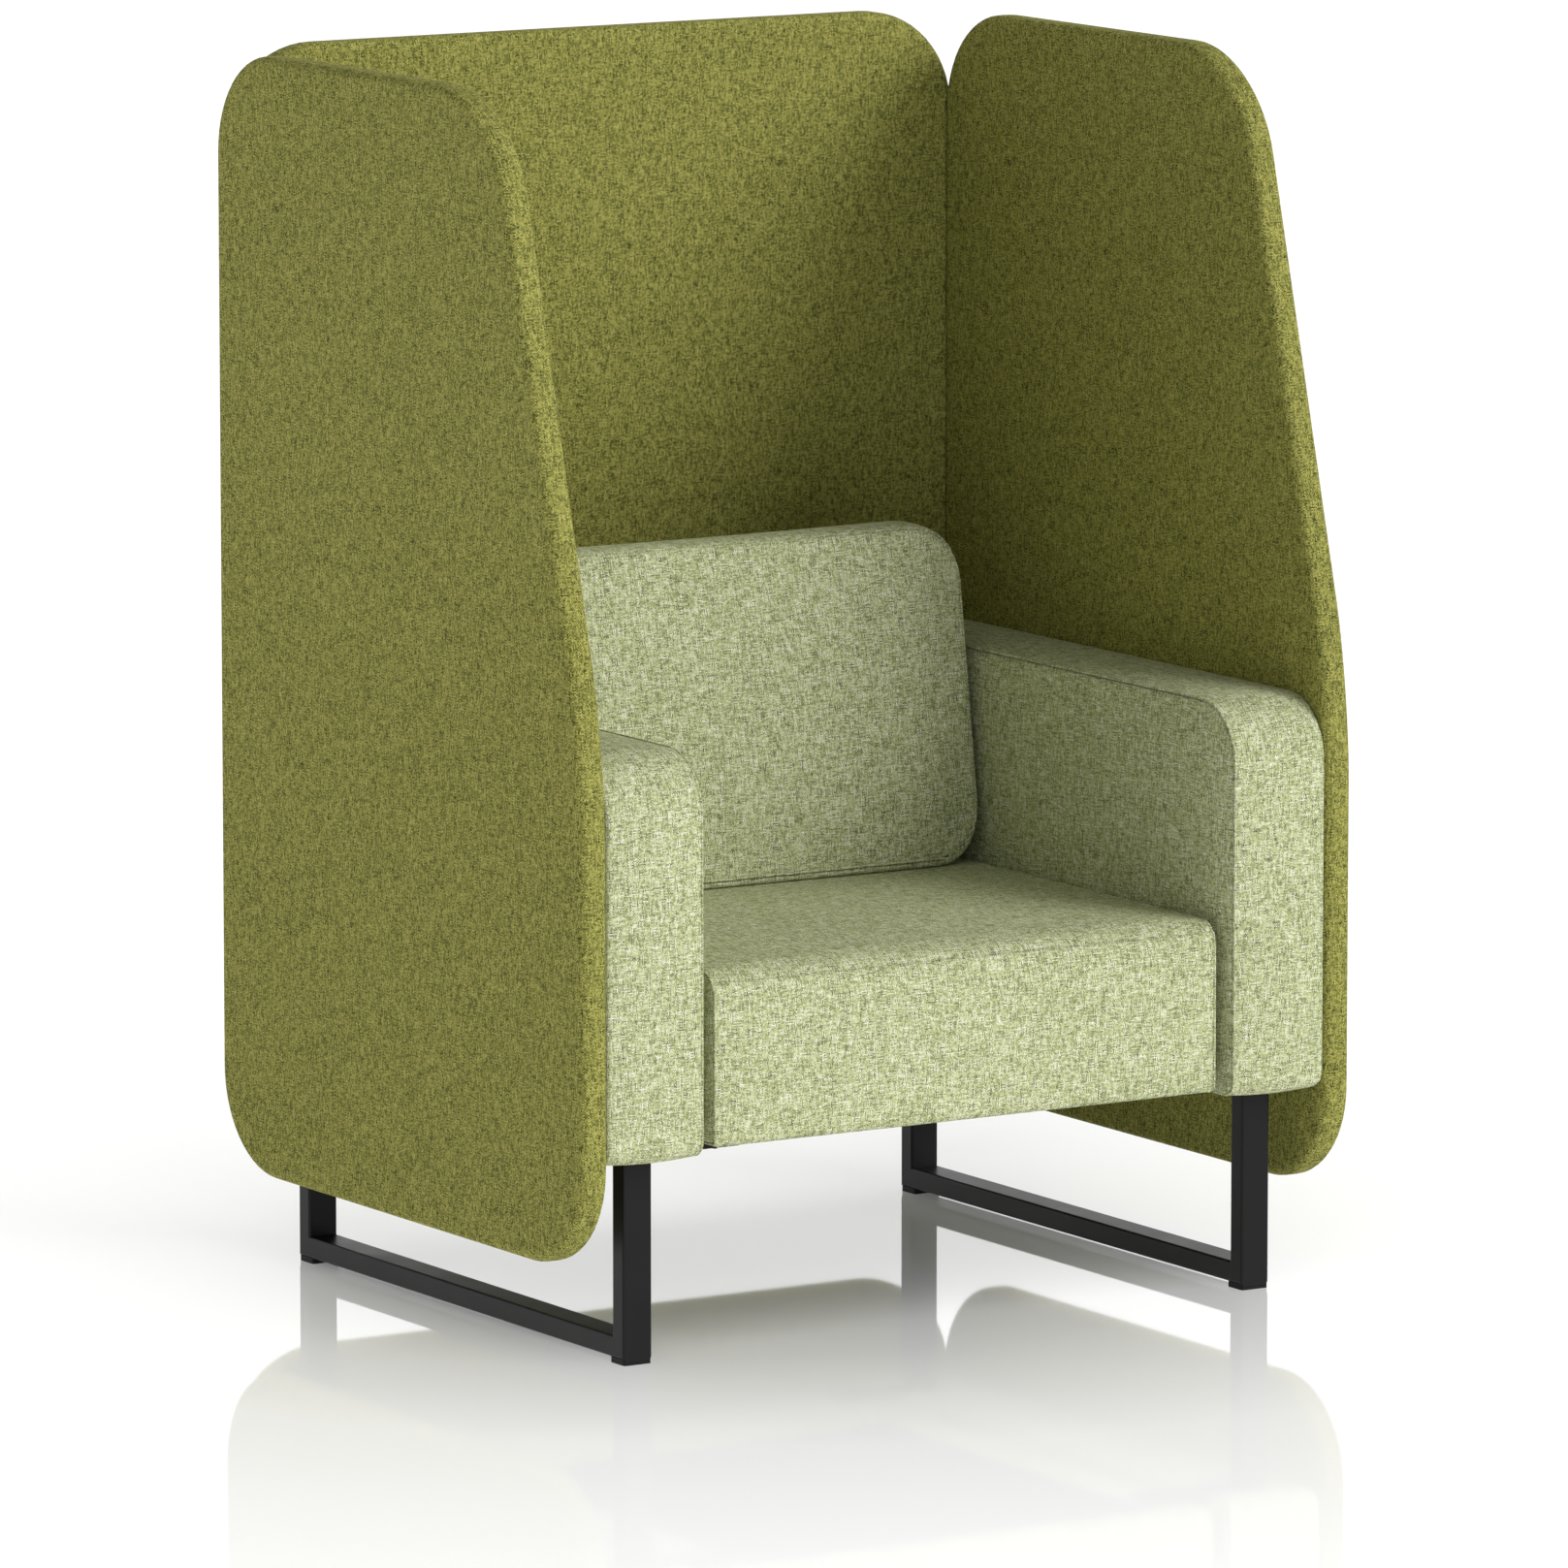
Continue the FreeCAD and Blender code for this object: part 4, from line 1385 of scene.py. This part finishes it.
def dress_frame() -> None:
    """Give every node that keeps its own mesh the material of its slot."""
    made = {slot: finish.material() for slot, finish in FINISHES.items()}
    for entry in frame["record"]["subparts"]:
        slot = entry["material_slot"]
        if slot in made:
            Bench.paint(frame["nodes"][entry["node"]], made[slot])
    log.info("dressed the nodes of %d slots", len(made))


@dataclass(frozen=True)
class PolishedFloor:
    """White floor whose clear coat and mirror-like shine fade away from the booth."""

    name: str = "white_floor"
    glow: float = 0.07
    near_coat: float = 1.0
    far_coat: float = 0.08
    fade: tuple[float, float] = (0.5, 2.3)
    mirror: float = 0.33
    mirror_fade: tuple[float, float] = (0.35, 1.0)
    roughness: float = 0.04
    coat_ior: float = 1.7

    def material(self) -> bpy.types.Material:
        """Build the floor's material, which fades by the distance from the booth's middle.

        Returns:
            The material.
        """
        tree = ShaderTree(bpy.data.materials.new(self.name))
        reach = tree.node("ShaderNodeVectorMath", {"operation": "LENGTH"}, {0: tree.place()},
                          "Value")
        coat = tree.remap(reach, self.near_coat, self.far_coat, *self.fade)
        mirror = tree.remap(reach, self.mirror, 0.0, *self.mirror_fade)
        return tree.finish(Base_Color=WHITE, Metallic=mirror, Roughness=self.roughness,
                           Specular_IOR_Level=0.0, Emission_Color=WHITE,
                           Emission_Strength=self.glow, Coat_Weight=coat,
                           Coat_Roughness=self.roughness, Coat_IOR=self.coat_ior)


@dataclass(frozen=True)
class Lamp:
    """A soft, distant lamp: its direction from the booth, its width in degrees and its power."""

    name: str
    towards: Point
    spread: float
    power: float
    distance: float = 5.0

    def hang(self) -> bpy.types.ObjectLightLinking:
        """Hang the lamp.

        Returns:
            What the lamp lights and what shades it.
        """
        data = bpy.data.lights.new(self.name, "SUN")
        data.energy = self.power
        data.angle = math.radians(self.spread)
        lamp = bpy.data.objects.new(self.name, data)
        bpy.context.scene.collection.objects.link(lamp)
        lamp.location = Vector(self.towards) * self.distance
        lamp.rotation_euler = (-Vector(self.towards)).to_track_quat("-Z", "Y").to_euler()
        return lamp.light_linking


@dataclass
class Studio:
    """Floor, light and camera."""

    lens: float = 279.35
    sensor: float = 36.0
    sight: float = 100.0
    target: Point = (-0.15246, -0.26600, 0.62920)
    distance: float = 13.9515
    yaw: float = math.radians(-31.82)
    pitch: float = math.radians(8.75)
    floor_half: float = 30.0
    horizon: float = 0.86
    zenith: float = 0.19
    key: Lamp = Lamp("key_light", (0.72, -1.0, 0.74), 34.0, 2.3)
    fill: Lamp = Lamp("floor_light", (-0.2, -0.95, 1.0), 60.0, 2.78)

    def build(self) -> None:
        """Set up the studio, with a light for the booth and one for the floor."""
        floor = self._floor()
        self._world()
        key = self.key.hang()
        key.receiver_collection = self._group("unlit", [floor])
        unlit = key.receiver_collection.collection_objects[0]
        unlit.light_linking.link_state = "EXCLUDE"
        fill = self.fill.hang()
        fill.receiver_collection = self._group("floor_only", [floor])
        low = [bpy.data.objects[f"{side.word}_arm"] for side in Side]
        low += [node for name, node in frame["nodes"].items()
                if name.startswith("seat_") or name.endswith("_seat_rail")]
        fill.blocker_collection = self._group("shading_floor", low)
        self._camera()
        bpy.context.scene.view_settings.view_transform = "Standard"

    def _floor(self) -> Piece:
        """Lay a polished white floor.

        Returns:
            The floor.
        """
        Bench.clear()
        bpy.ops.mesh.primitive_plane_add(size=2 * self.floor_half, location=(0.0, 0.0, 0.0))
        floor = bpy.context.object
        floor.name = "studio_floor"
        floor.data.materials.append(PolishedFloor().material())
        return floor

    def _world(self) -> None:
        """Light the studio with white, dimmer overhead, behind a plain white backdrop."""
        tree = ShaderTree(bpy.data.worlds.new("studio"))
        towards = tree.node("ShaderNodeTexCoord", output="Generated")
        rise = tree.node("ShaderNodeSeparateXYZ", {}, {0: towards}, "Z")
        sky = tree.remap(rise, self.horizon, self.zenith)
        seen = tree.node("ShaderNodeLightPath", output="Is Camera Ray")
        mirrored = tree.node("ShaderNodeLightPath", output="Is Glossy Ray")
        level = tree.remap(seen + mirrored, sky, 1.0)
        bpy.context.scene.world = tree.finish(Color=WHITE, Strength=level)

    @staticmethod
    def _group(name: str, members: Sequence[Piece]) -> bpy.types.Collection:
        """Collect pieces that a lamp treats apart.

        Args:
            name: The collection's name.
            members: The pieces.

        Returns:
            The collection.
        """
        group = bpy.data.collections.new(name)
        for piece in members:
            group.objects.link(piece)
        return group

    def _camera(self) -> None:
        """Stand the camera where the photograph was taken."""
        data = bpy.data.cameras.new("camera")
        data.lens = self.lens
        data.sensor_width = self.sensor
        data.clip_end = self.sight
        camera = bpy.data.objects.new("camera", data)
        bpy.context.scene.collection.objects.link(camera)
        level = math.cos(self.pitch)
        back = Vector((math.sin(self.yaw) * level, -math.cos(self.yaw) * level,
                       math.sin(self.pitch)))
        camera.location = Vector(self.target) + back * self.distance
        camera.rotation_euler = (-back).to_track_quat("-Z", "Y").to_euler()
        bpy.context.scene.camera = camera


def main() -> None:
    logging.basicConfig(level=logging.INFO, format="%(name)s: %(message)s")
    soft = Upholstery(SEAT_CLOTH, "seat_fabric")
    Screen().build(Upholstery(SCREEN_CLOTH, "screen_fabric"))
    Arms().build(soft)
    Seat().build(soft)
    Back().build(soft)
    dress_frame()
    Studio().build()


if __name__ == "__main__":
    main()
